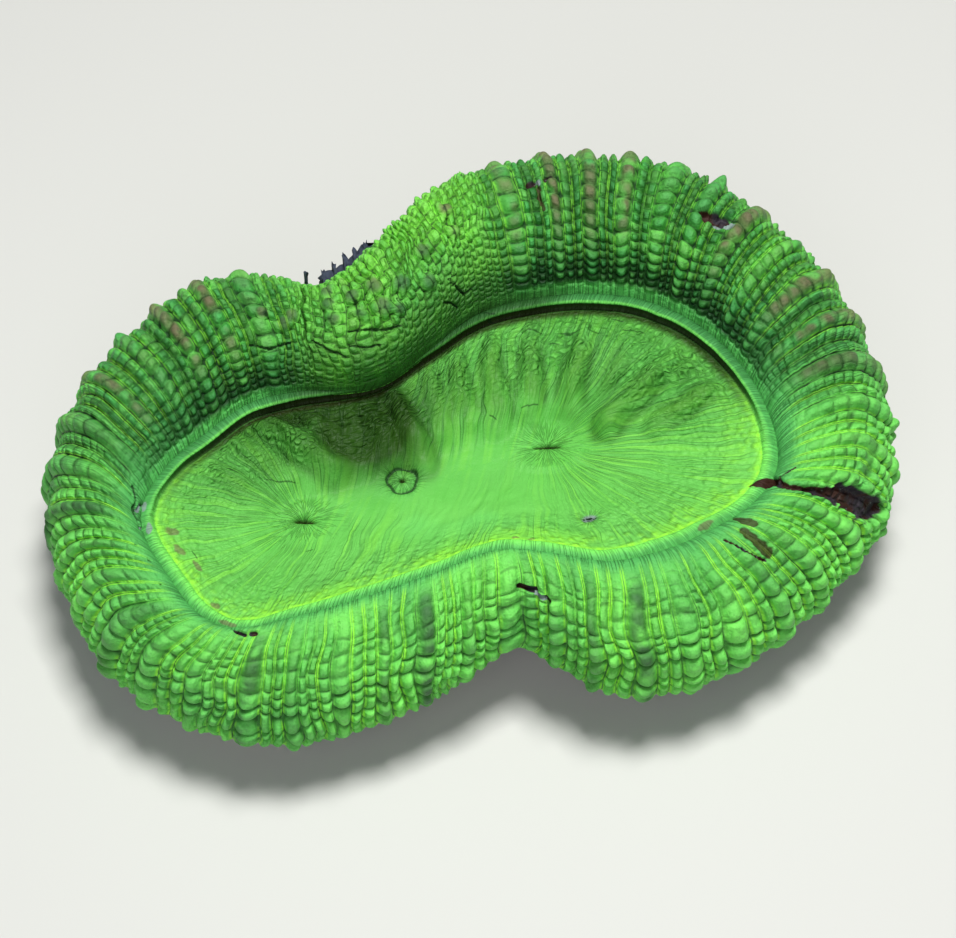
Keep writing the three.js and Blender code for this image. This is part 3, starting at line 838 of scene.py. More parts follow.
MARKS = (
    Mark(Damage.TEAR, 47.6, -15.6, 3.2, 1.1, -0.12),
    Mark(Damage.CRACK, 11.6, 11.3, 2.4, 0.16, -0.05),
    Mark(Damage.CRACK, 4.6, 10.2, 1.6, 0.14, -0.8),
    Mark(Damage.CRACK, 14.3, 25.0, 2.3, 0.2, -0.18),
    Mark(Damage.CRACK, 21.0, 23.9, 2.3, 0.22, -0.14),
    Mark(Damage.CRACK, 25.4, 23.2, 1.4, 0.2, -0.27),
    Mark(Damage.CRACK, 6.5, 29.0, 2.4, 0.2, -0.26),
    Mark(Damage.CRACK, 29.4, 25.6, 2.0, 0.2, -0.4),
    Mark(Damage.CRACK, 32.5, 22.4, 2.7, 0.2, -0.38),
    Mark(Damage.CRACK, 18.0, 22.3, 1.6, 0.14, -0.1),
    Mark(Damage.CRACK, -42.3, 5.3, 1.5, 0.16, -0.55),
    Mark(Damage.CRACK, -34.2, 3.1, 3.3, 0.16, -0.17),
    Mark(Damage.CRACK, -26.3, -18.2, 0.7, 0.18, 0.0),
    Mark(Damage.CRACK, -31.2, -11.2, 0.8, 0.16, 0.2),
    Mark(Damage.CRACK, -50.6, -11.5, 1.2, 0.2, -1.1),
    Mark(Damage.STAIN, 35.1, -22.2, 1.6, 0.8, 0.3),
    Mark(Damage.BARE, -57.6, -6.2, 1.3, 0.55, 1.4),
    Mark(Damage.BARE, -58.0, -1.5, 1.1, 0.5, 1.3),
    Mark(Damage.STAIN, -53.9, -6.4, 1.3, 1.0, -0.3),
    Mark(Damage.STAIN, -53.0, -10.6, 1.8, 0.7, -0.9),
    Mark(Damage.STAIN, -50.4, -14.1, 1.5, 0.5, -1.1),
    Mark(Damage.STAIN, -48.4, -23.0, 1.0, 0.7, -1.0),
    Mark(Damage.STAIN, -46.8, -27.3, 1.8, 0.5, -0.5),
    Mark(Damage.STAIN, 3.2, -18.6, 0.9, 0.3, 0.0),
    Mark(Damage.STAIN, 5.6, -19.4, 0.7, 0.3, 0.0),
)

FOLDS = (
    Fold(6.7, 26.0, 5.4, 9.0, 2.1, 1.5),
    Fold(14.4, 26.0, 11.4, 10.6, 2.1, 1.5, 0.5),
    Fold(23.7, 24.0, 17.9, 10.2, 2.2, 1.6, 0.5),
    Fold(31.0, 20.0, 24.0, 11.5, 1.5, 0.7),
    Fold(37.6, 14.4, 24.4, 5.6, 2.2, 2.2, 0.9),
    Fold(43.0, 15.0, 36.0, 10.5, 1.6, 0.6),
    Fold(46.2, 8.0, 32.4, 3.0, 1.9, 1.2, 0.6),
    Fold(-0.2, 23.0, 0.0, 10.5, 1.9, 1.2),
    Fold(-5.4, 23.5, -5.0, 9.0, 1.9, 0.8),
    Fold(-38.6, 16.6, -24.8, 4.6, 2.5, 1.9, 0.7),
    Fold(-43.2, 13.2, -32.4, 3.9, 1.8, 0.8),
    Fold(-29.2, 15.5, -22.3, 8.4, 1.7, 0.6),
    Fold(-18.1, 17.0, -14.2, 6.0, 2.1, 0.8),
    Fold(-12.4, 17.5, -9.0, 4.4, 2.2, 1.4, 0.9),
    Fold(-47.0, 7.0, -38.5, 0.5, 1.8, 0.5),
)


@dataclass
class OralDisc:
    """The sunken oral disc with its radiating folds and mouths, and the flange round it."""

    columns_per_ridge: int = 16
    disc_rings: int = 96
    lip_rings: int = 24
    main_centre: tuple[float, float, float] = (13.0, 4.4, 23.6)
    plateau: tuple[float, float] = (7.4, 5.4)
    hidden_reach: float = 6.0
    pole: tuple[float, float, float] = (-5.0, 2.0, 14.0)

    # The flange's section as (inwards from its line, above it), on the low and on the tall side.
    near_lip: tuple[tuple[float, float], ...] = (
        (1.7, -0.7), (1.5, -0.62), (1.3, -0.34), (1.0, -0.1), (0.6, 0.02), (0.1, 0.04),
        (-0.4, -0.08), (-0.9, -0.34), (-1.5, -0.7), (-2.1, -1.3), (-2.6, -2.6),
    )
    far_lip: tuple[tuple[float, float], ...] = (
        (0.5, -2.5), (0.0, -2.6), (-0.4, -2.0), (-0.2, -1.2), (0.2, -0.7), (0.45, -0.25),
        (0.2, 0.1), (-0.4, 0.24), (-1.2, 0.2), (-1.9, -0.3), (-2.8, -2.4),
    )

    def build(self, form: CoralForm) -> bpy.types.Object:
        """Builds the disc.

        Args:
            form: The coral's plain form.

        Returns:
            The disc and its flange as one object.
        """
        columns = self.columns_per_ridge * RIDGES
        ridge = np.arange(columns + 1) / self.columns_per_ridge
        s = form.sections(ridge)
        t = smooth(LEFT_MOUTH[0] - 8, self.main_centre[0] + 4, s.lip[:, 0])
        t = (t + t[::-1]) / 2
        inner = mixed(np.array(LEFT_MOUTH), np.array(self.main_centre), t[:, None])
        away = s.lip - inner
        away[:, 2] = 0
        inward = -away / np.linalg.norm(away, axis=1)[:, None]

        v = np.linspace(0, 1, self.disc_rings + 1)[:, None]
        disc, brown, crease = self._disc(s, inner, inward, v, ridge)
        lip = self._lip(s, inward, ridge)
        hidden = lip[-1] + self.hidden_reach * (inward + np.array([0, 0, -1.0]))
        pole = np.broadcast_to(np.array(self.pole), lip[-1].shape)
        points = np.concatenate([disc, lip[1:], hidden[None], pole[None]])

        outward = np.concatenate([v[:, 0], 1 + np.linspace(0, 1, self.lip_rings + 1)[1:], [2.0, 2.0]])
        whole = np.repeat(outward[:, None], columns + 1, axis=1)
        folded, crease_shade = np.zeros((2, *points.shape[:2]))
        folded[: len(brown)] = brown
        crease_shade[: len(crease)] = crease
        on_disc = smooth(1.02, 0.98, whole)
        values = {
            "out": whole,
            "far": np.repeat(s.farness[None, :], len(outward), axis=0),
            "folded": folded,
            "crease_shade": crease_shade,
            "opening": self._opening_mask(points) * on_disc,
            "ring": self._ring_mask(points) * on_disc,
            "shade": self._painted_shade_mask(points) * on_disc,
            "scar": self._scar_mask(points) * on_disc,
            "calm": self._calm_mask(points) * on_disc,
            **{kind.value: self._mark_mask(kind, points) for kind in Damage},
        }
        rows = np.repeat(outward[:, None], columns, axis=1)
        uv = corner_pairs(ridge[:-1], ridge[1:], rows, rows)
        return grid_mesh("oral_disc", Grid(points, values, uv), caps=False)

    def _disc(
        self,
        s: Sections,
        inner: np.ndarray,
        inward: np.ndarray,
        v: np.ndarray,
        ridge: np.ndarray,
    ) -> tuple[np.ndarray, np.ndarray, np.ndarray]:
        """Points of the disc from the valley out to the flange's foot, its folds' colour and the painted
        shade beside them.
        """
        far, around = s.farness[None, :], ridge[None, :]
        drop = mixed(-self.near_lip[0][1], -self.far_lip[0][1], far)
        edge = s.lip + inward * mixed(self.near_lip[0][0], self.far_lip[0][0], s.farness)[:, None]
        points = mixed(inner[None], edge[None], v[..., None])
        dish = v * v * (1.6 - 0.6 * v)
        cushion = 0.42 * smooth(0.14, 0.36, v) + 0.58 * smooth(0.3, 0.86, v)
        low = inner[None, :, 2]
        high = s.lip[None, :, 2] - drop
        height = low + (high - low) * mixed(dish, cushion, far)

        fold = np.zeros(points.shape[:2])
        brown = np.zeros(points.shape[:2])
        crease = np.zeros(points.shape[:2])
        bend = 0.5 * SmoothNoise(50, 64, 64).at(points[..., 0] / 4 + 32, points[..., 1] / 4 + 32)
        for f in FOLDS:
            t, apart = along_line(points, (f.x0, f.y0), (f.x1, f.y1))
            share = (apart + bend) / (f.width * mixed(0.85, 1.15, t))
            bulge = 1 - smooth(0.1, 1.25, share)
            shape = mixed(0.5, 1.0, smooth(0.0, 0.45, t)) * mixed(1.0, f.nose, smooth(0.6, 1.0, t))
            fold = np.maximum(fold, 1.6 * f.height * shape * bulge)
            strong = min(f.height, 1.0) * smooth(0.05, 0.4, t)
            brown = np.maximum(brown, bulge * strong * mixed(1.0, f.nose, smooth(0.75, 1.0, t)))
            beside = np.exp(-(((share - 1.1) / 0.35) ** 2)) * mixed(1.0, f.nose**2, smooth(0.8, 1.0, t))
            crease = np.maximum(crease, beside * strong)
        wander = SmoothNoise(51, RIDGES)
        amount = SmoothNoise(52, RIDGES).round(around, v * 3)
        ridged = -np.cos(2 * np.pi * (around + 0.2 * wander.round(around, v * 5)))
        reach = smooth(0.2, 0.45, v) * (1 - smooth(0.78, 0.98, v))
        fine = np.sin(2 * np.pi * (4 * around + 0.9 * SmoothNoise(54, 2 * RIDGES).round(around, v * 9)))
        lumps = SmoothNoise(53, 2 * RIDGES).round(around, v * 12)
        tiles = SmoothNoise(55, 4 * RIDGES, 64).round(around, v * 30)
        tiled = smooth(0.6, 0.78, v) * (1 - smooth(0.96, 1.0, v))
        height = height + fold * (1 - smooth(0.86, 0.99, v))
        height = height + (0.3 + 0.25 * amount) * mixed(0.3, 0.8, far) * reach * ridged
        height = height + 0.07 * smooth(0.06, 0.2, v) * fine + 0.16 * lumps * reach
        height = height + 0.2 * tiles * tiled * mixed(0.5, 1.0, far)
        for k, place in enumerate((0.72, 0.8, 0.87, 0.93)):
            path = place + 0.02 * SmoothNoise(60 + k, RIDGES).round(around, 0.0)
            broken = smooth(0.0, 0.4, SmoothNoise(70 + k, RIDGES).round(around, 0.0))
            height = height - 0.4 * far * broken * np.exp(-(((v - path) / 0.012) ** 2))
        points[..., 2] = height
        points[..., 2] += self._mouth_relief(points)
        return points, brown, crease * (1 - smooth(0.6, 1.2, fold))

    def _local(self, mouth: Mouth | Mark, points: np.ndarray) -> tuple[np.ndarray, np.ndarray]:
        """A mouth's own lengthwise and crosswise places, in halves of its length and width."""
        x, y = points[..., 0] - mouth.x, points[..., 1] - mouth.y
        cosine, sine = math.cos(mouth.turn), math.sin(mouth.turn)
        return (x * cosine + y * sine) / mouth.length, (y * cosine - x * sine) / mouth.width

    def _mouth_relief(self, points: np.ndarray) -> np.ndarray:
        """How far the mouths raise or sink the disc, in millimetres."""
        relief = np.zeros(points.shape[:2])
        for mouth in MOUTHS:
            a, b = self._local(mouth, points)
            radius = np.hypot(a, b)
            if mouth.kind is Opening.RINGED:
                relief -= 0.6 * np.exp(-(((radius - 1) / 0.15) ** 2))
                relief += 0.35 * (1 - smooth(0.0, 0.9, radius))
                relief -= mouth.depth * np.exp(-((radius / 0.2) ** 2))
            else:
                relief -= mouth.depth * np.exp(-(a**4) - b * b)
        main, left = MOUTHS[0], MOUTHS[1]
        x, y = points[..., 0] - main.x, points[..., 1] - main.y
        relief += 0.6 * (1 - smooth(0.8, 1.15, np.hypot(x / self.plateau[0], y / self.plateau[1])))
        x, y = points[..., 0] - left.x, points[..., 1] - left.y - 2.4
        relief += 0.8 * (1 - smooth(0.3, 1.1, np.hypot(x / 3.6, y / 2.2)))
        return relief

    def _opening_mask(self, points: np.ndarray) -> np.ndarray:
        """Where the dark of an open mouth shows, from 0 to 1."""
        mask = np.zeros(points.shape[:2])
        for mouth in MOUTHS:
            a, b = self._local(mouth, points)
            if mouth.kind is Opening.RINGED:
                mask = np.maximum(mask, np.exp(-((np.hypot(a, b) / 0.2) ** 2)))
            elif mouth.kind is Opening.SLIT:
                mask = np.maximum(mask, np.exp(-(a**4) - b * b))
        return mask

    def _scar_mask(self, points: np.ndarray) -> np.ndarray:
        """Where a scarred mouth is bare, from 0 to 1."""
        mask = np.zeros(points.shape[:2])
        for mouth in MOUTHS:
            if mouth.kind is Opening.SCARRED:
                a, b = self._local(mouth, points)
                mask = np.maximum(mask, 1 - smooth(0.7, 1.1, np.hypot(a, b)))
        return mask

    def _mark_mask(self, kind: Damage, points: np.ndarray) -> np.ndarray:
        """Where marks of one kind lie, from 0 to 1."""
        rough = 0.25 * SmoothNoise(42, 256, 256).at(points[..., 0] * 1.3 + 128, points[..., 1] * 1.3 + 128)
        rough = rough * (kind is not Damage.CRACK)
        mask = np.zeros(points.shape[:2])
        for mark in MARKS:
            if mark.kind is kind:
                a, b = self._local(mark, points)
                mask = np.maximum(mask, 1 - smooth(0.7, 1.1, np.hypot(a, b) + rough))
        return mask

    def _ring_mask(self, points: np.ndarray) -> np.ndarray:
        """The dark ring round the ringed mouth, from 0 to 1."""
        mouth = next(m for m in MOUTHS if m.kind is Opening.RINGED)
        a, b = self._local(mouth, points)
        uneven = 1 + 0.06 * np.sin(3 * np.arctan2(b, a) + 0.6) + 0.04 * np.sin(5 * np.arctan2(b, a))
        return np.exp(-(((np.hypot(a, b) / uneven - 1) / 0.14) ** 2))

    def _painted_shade_mask(self, points: np.ndarray) -> np.ndarray:
        """The painted dark green shade in the hollow behind the ringed mouth and along the flange beside
        it, from 0 to 1.
        """
        hollow = blob(points, (-18.0, 11.5), (9.5, 8.0))
        fringe = blob(points, (-27.0, 16.5), (14.0, 5.0))
        return np.clip(1.9 * np.maximum(hollow, 0.8 * fringe), 0, 1)

    def _calm_mask(self, points: np.ndarray) -> np.ndarray:
        """Where the disc is smooth, with hardly a line: its middle and round the largest mouth."""
        main = MOUTHS[0]
        x, y = points[..., 0] - main.x, points[..., 1] - main.y
        middle = blob(points, (-2.0, -6.0), (17.0, 8.5), power=4)
        plateau = np.exp(-(np.hypot(x / 8.0, y / 5.0) ** 4))
        return np.maximum(middle, 0.4 * plateau)

    def _lip(self, s: Sections, inward: np.ndarray, ridge: np.ndarray) -> np.ndarray:
        """Points of the flange, from the disc's edge over its top down into the groove."""
        near = self._curve(np.array(self.near_lip))
        far = self._curve(np.array(self.far_lip))
        section = mixed(near[:, None], far[:, None], s.farness[None, :, None])
        out = np.linspace(0, 1, self.lip_rings + 1)[:, None]
        swell = np.sin(np.pi * out)
        ruffle = SmoothNoise(81, 2 * RIDGES).round(ridge[None, :], 0.0) * swell
        offset = section[..., 0] + 0.2 * ruffle
        points = s.lip[None] + inward[None] * offset[..., None]
        ripple = 0.04 * np.sin(2 * np.pi * 5 * ridge)[None, :] * swell
        points[..., 2] = s.lip[None, :, 2] + section[..., 1] + 0.12 * ruffle + ripple
        return points

    def _curve(self, knots: np.ndarray) -> np.ndarray:
        """A smooth open curve through the knots, with as many steps as the flange has rings."""
        place = np.linspace(0, len(knots) - 1, self.lip_rings + 1)
        i = np.minimum(np.floor(place).astype(int), len(knots) - 2)
        f = (place - i)[:, None]
        padded = np.vstack([2 * knots[0] - knots[1], knots, 2 * knots[-1] - knots[-2]])
        a, b, c, d = (padded[i + k] for k in range(4))
        return b + 0.5 * f * (c - a + f * (2 * a - 5 * b + 4 * c - d + f * (3 * (b - c) + d - a)))


@dataclass
class SkeletonCone:
    """The stony cone under the flesh, with its fine ribs and the flat cut that it stands on."""

    columns_per_ridge: int = 12
    wall_rings: int = 48
    rib_height: float = 0.5
    flare: float = 1.6
    foot_bevel: float = 0.6
    foot_rings: int = 20
    foot_reach: float = 0.985
    inner_height: float = 22.0
    pole_height: float = 20.0

    def build(self, form: CoralForm) -> bpy.types.Object:
        """Builds the cone.

        Args:
            form: The coral's plain form.

        Returns:
            The cone, closed at its foot and inside the flesh.
        """
        columns = self.columns_per_ridge * RIDGES
        ridge = np.arange(columns + 1) / self.columns_per_ridge
        s = form.sections(ridge)
        top = form.mantle_points(s, np.full(len(ridge), 3.0))
        angle = np.arctan2(s.lip[:, 1] - FOOT_CENTRE[1], s.lip[:, 0] - FOOT_CENTRE[0])
        foot = np.stack([
            FOOT_CENTRE[0] + FOOT_HALF[0] * np.cos(angle),
            FOOT_CENTRE[1] + FOOT_HALF[1] * np.sin(angle),
            np.zeros(len(ridge)),
        ], axis=1)
        share = np.linspace(0, 1, self.wall_rings + 1)[:, None]
        wall = mixed(foot[None], top[None], (share**self.flare)[..., None])
        wall[..., 2] = top[None, :, 2] * share
        normal = outward_normals(wall[:, :-1])
        normal = np.concatenate([normal, normal[:, :1]], axis=1)
        normal[..., 2] *= smooth(0.0, 0.2, share)
        rib = np.abs(np.sin(2 * np.pi * ridge[None, :])) ** 0.7
        grain = SmoothNoise(91, 8 * RIDGES, 64).round(ridge[None, :], share * 40)
        broad = SmoothNoise(92, RIDGES, 64).round(ridge[None, :], share * 6)
        relief = self.rib_height * (rib - 0.6) + 0.16 * grain * rib + 0.5 * broad
        relief = relief * smooth(0.0, 0.12, share) * mixed(1.0, 0.4, smooth(0.8, 1.0, share))
        wall = wall + normal * relief[..., None]

        centre = np.array([FOOT_CENTRE[0], FOOT_CENTRE[1], 0.0])
        spread = np.linspace(0, self.foot_reach, self.foot_rings)
        cut = [mixed(np.broadcast_to(centre, foot.shape), foot, part) for part in spread]
        wall[0, :, 2] = self.foot_bevel
        inside = mixed(wall[-1], centre + np.array([0, 0, self.inner_height]), 0.5)
        pole = np.broadcast_to(centre + np.array([0, 0, self.pole_height]), foot.shape)
        points = np.concatenate([np.array(cut), wall, inside[None], pole[None]])
        outward = np.concatenate([np.linspace(-1, -0.02, len(cut)), share[:, 0], [1.0, 1.0]])
        values = {"out": np.repeat(outward[:, None], len(ridge), axis=1)}
        rows = np.repeat(outward[:, None], columns, axis=1)
        uv = corner_pairs(ridge[:-1], ridge[1:], rows, rows)
        return grid_mesh("skeleton_cone", Grid(points, values, uv), caps=False)


@dataclass(frozen=True)
class Slab:
    """An upright slab of bare skeleton: its side, its thickness, its reach back and its height."""

    x: float
    thick: float
    y: float
    reach: float
    high: float
    slope: float
    teeth: int
    seed: int


@dataclass
class BareSepta:
    """The toothed plates of bare skeleton behind the mantle's pinch, in a rough crust."""

    count: int = 5
    x: float = -20.6
    y: float = 32.0
    step: float = 2.0
    thick: float = 1.5
    reach: float = 13.0
    low: float = 13.0
    high: float = 32.0
    rise: float = 1.45
    tooth: float = 0.9
    arch: float = 26.0
    summit: float = 0.85
    heel: float = 0.35
    teeth: int = 6
    crust_inset: float = 0.6
    crust_below: float = 1.0
    splinter: Slab = Slab(-24.1, 0.8, 38.0, 3.2, 36.4, 0.0, 2, 130)
    cuts_along: int = 19
    cuts_across: int = 9

    def build(self) -> bpy.types.Object:
        """Builds the plates, the crust between them and a splinter as one object."""
        slope = self.rise / self.step
        middle = self.x + self.step * (self.count - 1) / 2
        span = self.step * (self.count - 1) + self.thick
        plates = []
        for k in range(self.count):
            x, high = self.x + self.step * k, self.high + self.rise * k
            plates.append(Slab(x, self.thick, self.y, self.reach, high, 0.0, self.teeth, 100 + k))
        crust_top = self.high + self.rise * (self.count - 1) / 2 - self.crust_below
        front, depth = self.y + self.crust_inset, self.reach - 2 * self.crust_inset
        crust = Slab(middle, span, front, depth, crust_top, slope, 0, 120)
        mesh = bpy.data.meshes.new("bare_septa")
        bm = bmesh.new()
        for slab in (*plates, crust, self.splinter):
            self._slab(mesh, slab)
            bm.from_mesh(mesh)
        bmesh.ops.recalc_face_normals(bm, faces=bm.faces)
        for face in bm.faces:
            face.smooth = True
        bm.to_mesh(mesh)
        bm.free()
        piece = bpy.data.objects.new("bare_septa", mesh)
        bpy.context.scene.collection.objects.link(piece)
        return piece

    def _slab(self, mesh: bpy.types.Mesh, slab: Slab) -> None:
        """Writes one slab, drawn into a toothed, arched and roughened fin."""
        bm = bmesh.new()
        bmesh.ops.create_cube(bm, size=1)
        sideways = [e for e in bm.edges if abs(e.verts[0].co.x - e.verts[1].co.x) > 0.5]
        bmesh.ops.subdivide_edges(bm, edges=sideways, cuts=self.cuts_across, use_grid_fill=True)
        lengthwise = [e for e in bm.edges if abs(e.verts[0].co.x - e.verts[1].co.x) < 1e-6]
        bmesh.ops.subdivide_edges(bm, edges=lengthwise, cuts=self.cuts_along, use_grid_fill=True)
        rough = SmoothNoise(slab.seed, 64)
        for vert in bm.verts:
            side, along, up = vert.co.x * 2, vert.co.y + 0.5, vert.co.z + 0.5
            offset = side * slab.thick / 2
            top = slab.high + slab.slope * offset - self.arch * (along - self.summit) ** 2
            top -= self.tooth * abs(math.sin(math.pi * slab.teeth * along)) * float(smooth(0.2, 0.4, along))
            top += 0.9 * float(rough.at(along * 9 + 3, offset * 1.3 + 16)) * float(smooth(0.7, 1.0, up))
            reach = slab.reach * mixed(self.heel, 1.0, float(smooth(0.0, 0.55, up)))
            bump = float(rough.at(along * 14, up * 14))
            narrow = (1.0 - 0.5 * float(smooth(0.5, 1.0, up))) if slab.teeth else 1.0
            x = slab.x + offset * narrow * (1 + 0.25 * bump) + 0.3 * bump
            y = slab.y + along * reach + 0.5 * float(rough.at(offset * 1.5 + 20, up * 12))
            z = mixed(self.low, top, up)
            vert.co = Vector(((x - BODY_CENTRE[0]) * MM, (y - BODY_CENTRE[1]) * MM, z * MM))
        bm.to_mesh(mesh)
        bm.free()


class Signal:
    """A number or colour in a node tree; arithmetic with it adds Math nodes.

    A product waits for its first use, so that a sum with it can be one node.
    """

    def __init__(
        self,
        nodes: "Nodes",
        socket: bpy.types.NodeSocket | None,
        factors: tuple["Signal", "Value"] | None = None,
    ) -> None:
        """Keeps the output or, for a product that waits, its factors.

        Args:
            nodes: The short calls of its tree.
            socket: The node's output.
            factors: The two factors of a product.
        """
        self.nodes = nodes
        self.factors = factors
        self._socket = socket

    @property
    def socket(self) -> bpy.types.NodeSocket:
        """The node's output, which for a product is made at its first use."""
        if self._socket is None:
            self._socket = self.nodes.math("MULTIPLY", *self.factors).socket
        return self._socket

    def __mul__(self, other: "Value") -> "Signal":
        """The product."""
        return Signal(self.nodes, None, (self, other))

    __rmul__ = __mul__

    def __add__(self, other: "Value") -> "Signal":
        """The sum."""
        for one, rest in ((self, other), (other, self)):
            if isinstance(one, Signal) and one.factors:
                return self.nodes.math("MULTIPLY_ADD", *one.factors, rest)
        return self.nodes.math("ADD", self, other)

    __radd__ = __add__

    def __sub__(self, other: "Value") -> "Signal":
        """What is left when the other is taken away."""
        if isinstance(other, Signal):
            return other.__rsub__(self)
        return self.nodes.math("SUBTRACT", self, other)

    def __rsub__(self, other: "Value") -> "Signal":
        """What is left of the other when this is taken away."""
        if self.factors and isinstance(self.factors[1], float):
            return self.nodes.math("MULTIPLY_ADD", self.factors[0], -self.factors[1], other)
        return self.nodes.math("SUBTRACT", other, self)

    def __truediv__(self, other: "Value") -> "Signal":
        """The quotient."""
        return self.nodes.math("DIVIDE", self, other)


# What the input of a node takes.
Value = Signal | float | tuple[float, ...]


class Nodes:
    """A node tree with short calls for the nodes that the finishes use."""

    def __init__(self, tree: bpy.types.NodeTree) -> None:
        """Keeps the tree."""
        self.tree = tree

    def add(
        self,
        kind: str,
        inputs: dict[str | int, Value] | None = None,
        **settings: str | bool | bpy.types.NodeTree,
    ) -> bpy.types.Node:
        """Adds a node.

        Args:
            kind: The node's type without its ShaderNode prefix.
            inputs: Sockets by name or number, each with a value or a signal to link.
            settings: Properties of the node.

        Returns:
            The node.
        """
        node = self.tree.nodes.new(kind if kind.startswith("Node") else "ShaderNode" + kind)
        for key, value in settings.items():
            setattr(node, key, value)
        for key, value in (inputs or {}).items():
            self.put(node.inputs[key], value)
        return node

    def put(self, socket: bpy.types.NodeSocket, value: Value) -> None:
        """Links a signal to the socket, or sets its value."""
        if isinstance(value, Signal):
            self.tree.links.new(value.socket, socket)
        else:
            socket.default_value = value

    def made(
        self,
        output: str | int,
        kind: str,
        inputs: dict[str | int, Value] | None = None,
        **settings: str | bool,
    ) -> Signal:
        """Adds a node and gives the output that is named or numbered."""
        return Signal(self, self.add(kind, inputs, **settings).outputs[output])

    def outputs(self, node: bpy.types.Node) -> dict[str, Signal]:
        """A node's outputs by name."""
        return {socket.name: Signal(self, socket) for socket in node.outputs}

    def math(self, operation: str, *values: Value, clamp: bool = False) -> Signal:
        """The result of a Math node."""
        return self.made(0, "Math", dict(enumerate(values)), operation=operation, use_clamp=clamp)

    def span(
        self,
        value: Value,
        low: float,
        high: float,
        to_low: float = 0.0,
        to_high: float = 1.0,
    ) -> Signal:
        """A value that goes smoothly from to_low at low to to_high at high."""
        inputs = {"Value": value, "From Min": low, "From Max": high, "To Min": to_low, "To Max": to_high}
        return self.made("Result", "MapRange", inputs, interpolation_type="SMOOTHSTEP")

    def fall(self, value: Value, low: float, high: float) -> Signal:
        """A value that goes smoothly from 1 at low to 0 at high."""
        return self.span(value, low, high, 1.0, 0.0)

    def mix(self, factor: Value, first: Value, second: Value) -> Signal:
        """A mix of two colours."""
        return self.made(2, "Mix", {0: factor, 6: first, 7: second}, data_type="RGBA")

    def vector(self, x: Value, y: Value, z: Value = 0.0) -> Signal:
        """A vector made of three numbers."""
        return self.made(0, "CombineXYZ", {0: x, 1: y, 2: z})

    def parts(self, vector: Signal) -> dict[str, Signal]:
        """A vector's X, Y and Z."""
        return self.outputs(self.add("SeparateXYZ", {0: vector}))

    def noise(self, vector: Signal, scale: float, detail: float = 2.0, rough: float = 0.5) -> Signal:
        """The value of a Noise texture."""
        inputs = {"Vector": vector, "Scale": scale, "Detail": detail, "Roughness": rough}
        return self.made(0, "TexNoise", inputs)

    def cells(self, vector: Signal, scale: float, **settings: str) -> Signal:
        """The distance that a Voronoi texture gives."""
        return self.made("Distance", "TexVoronoi", {"Vector": vector, "Scale": scale}, **settings)

    def white(self, x: Value, y: Value) -> Signal:
        """A random number for each pair of whole numbers."""
        return self.made("Value", "TexWhiteNoise", {"Vector": self.vector(x, y)}, noise_dimensions="2D")

    def attribute(self, name: str) -> Signal:
        """A number that the mesh carries."""
        return self.made("Fac", "Attribute", attribute_name=name)

    def group(self, tree: bpy.types.NodeTree, inputs: dict[str, Value]) -> dict[str, Signal]:
        """Places a node group and gives its outputs."""
        return self.outputs(self.add("Group", inputs, node_tree=tree))


def new_group(
    name: str,
    inputs: dict[str, float],
    outputs: tuple[str, ...],
    vectors: tuple[str, ...] = (),
) -> tuple[bpy.types.NodeTree, Nodes, dict[str, Signal], bpy.types.Node]:
    """Starts a shader node group.

    Args:
        name: Its name.
        inputs: Its number inputs with what they hold at first.
        outputs: Its number outputs.
        vectors: Its vector inputs.

    Returns:
        The group, its nodes, what it is given and its output node.
    """
    tree = bpy.data.node_groups.new(name, "ShaderNodeTree")
    for key in vectors:
        tree.interface.new_socket(key, in_out="INPUT", socket_type="NodeSocketVector")
    for key, value in inputs.items():
        socket = tree.interface.new_socket(key, in_out="INPUT", socket_type="NodeSocketFloat")
        socket.default_value = value
    for key in outputs:
        tree.interface.new_socket(key, in_out="OUTPUT", socket_type="NodeSocketFloat")
    nodes = Nodes(tree)
    return tree, nodes, nodes.outputs(nodes.add("NodeGroupInput")), nodes.add("NodeGroupOutput")


def ray_group() -> bpy.types.NodeTree:
    """Fine lines that run outwards and fork: their cuts, pale crests and the cushions between them."""
    inputs = {"Around": 0.0, "Outward": 0.0, "Fineness": 5.0, "Shortness": 3.0}
    tree, n, given, result = new_group("fine rays", inputs, ("Cuts", "Crests", "Cushions"))
    turn = given["Around"] * (2 * math.pi / RIDGES)
    radius = given["Fineness"] * (RIDGES / (2 * math.pi))
    x = n.math("COSINE", turn) * radius
    y = n.math("SINE", turn) * radius
    place = n.vector(x, y, given["Outward"] * given["Shortness"])
    value = n.noise(place, 1.0, 1.0, 0.4)
    n.put(result.inputs["Cuts"], n.fall(n.math("ABSOLUTE", value - 0.5), 0.0, 0.06))
    n.put(result.inputs["Crests"], n.span(value, 0.48, 0.68))
    cells = n.cells(place, 1.0, feature="DISTANCE_TO_EDGE")
    n.put(result.inputs["Cushions"], n.span(cells, 0.0, 0.36))
    return tree


def mouth_group() -> bpy.types.NodeTree:
    """Fine lines that spread from a mouth on every side, and how strongly they show."""
    inputs = {"X": 0.0, "Y": 0.0, "Stretch": 1.0, "Lines": 40.0, "Reach": 0.008}
    tree, n, given, result = new_group("mouth rays", inputs, ("Cuts", "Strength"), ("Place",))
    part = n.parts(given["Place"])
    x = part["X"] - given["X"]
    y = (part["Y"] - given["Y"]) * given["Stretch"]
    radius = n.math("SQRT", x * x + y * y)
    radius = n.math("MAXIMUM", radius, 0.0002)
    scale = given["Lines"] * (1 / (2 * math.pi)) / radius
    place = n.vector(x * scale, y * scale, radius * 260.0)
    value = n.noise(place, 1.0, 1.0, 0.5)
    n.put(result.inputs["Cuts"], n.fall(n.math("ABSOLUTE", value - 0.5), 0.0, 0.08))
    share = radius / given["Reach"]
    n.put(result.inputs["Strength"], n.fall(share, 0.35, 1.0))
    return tree


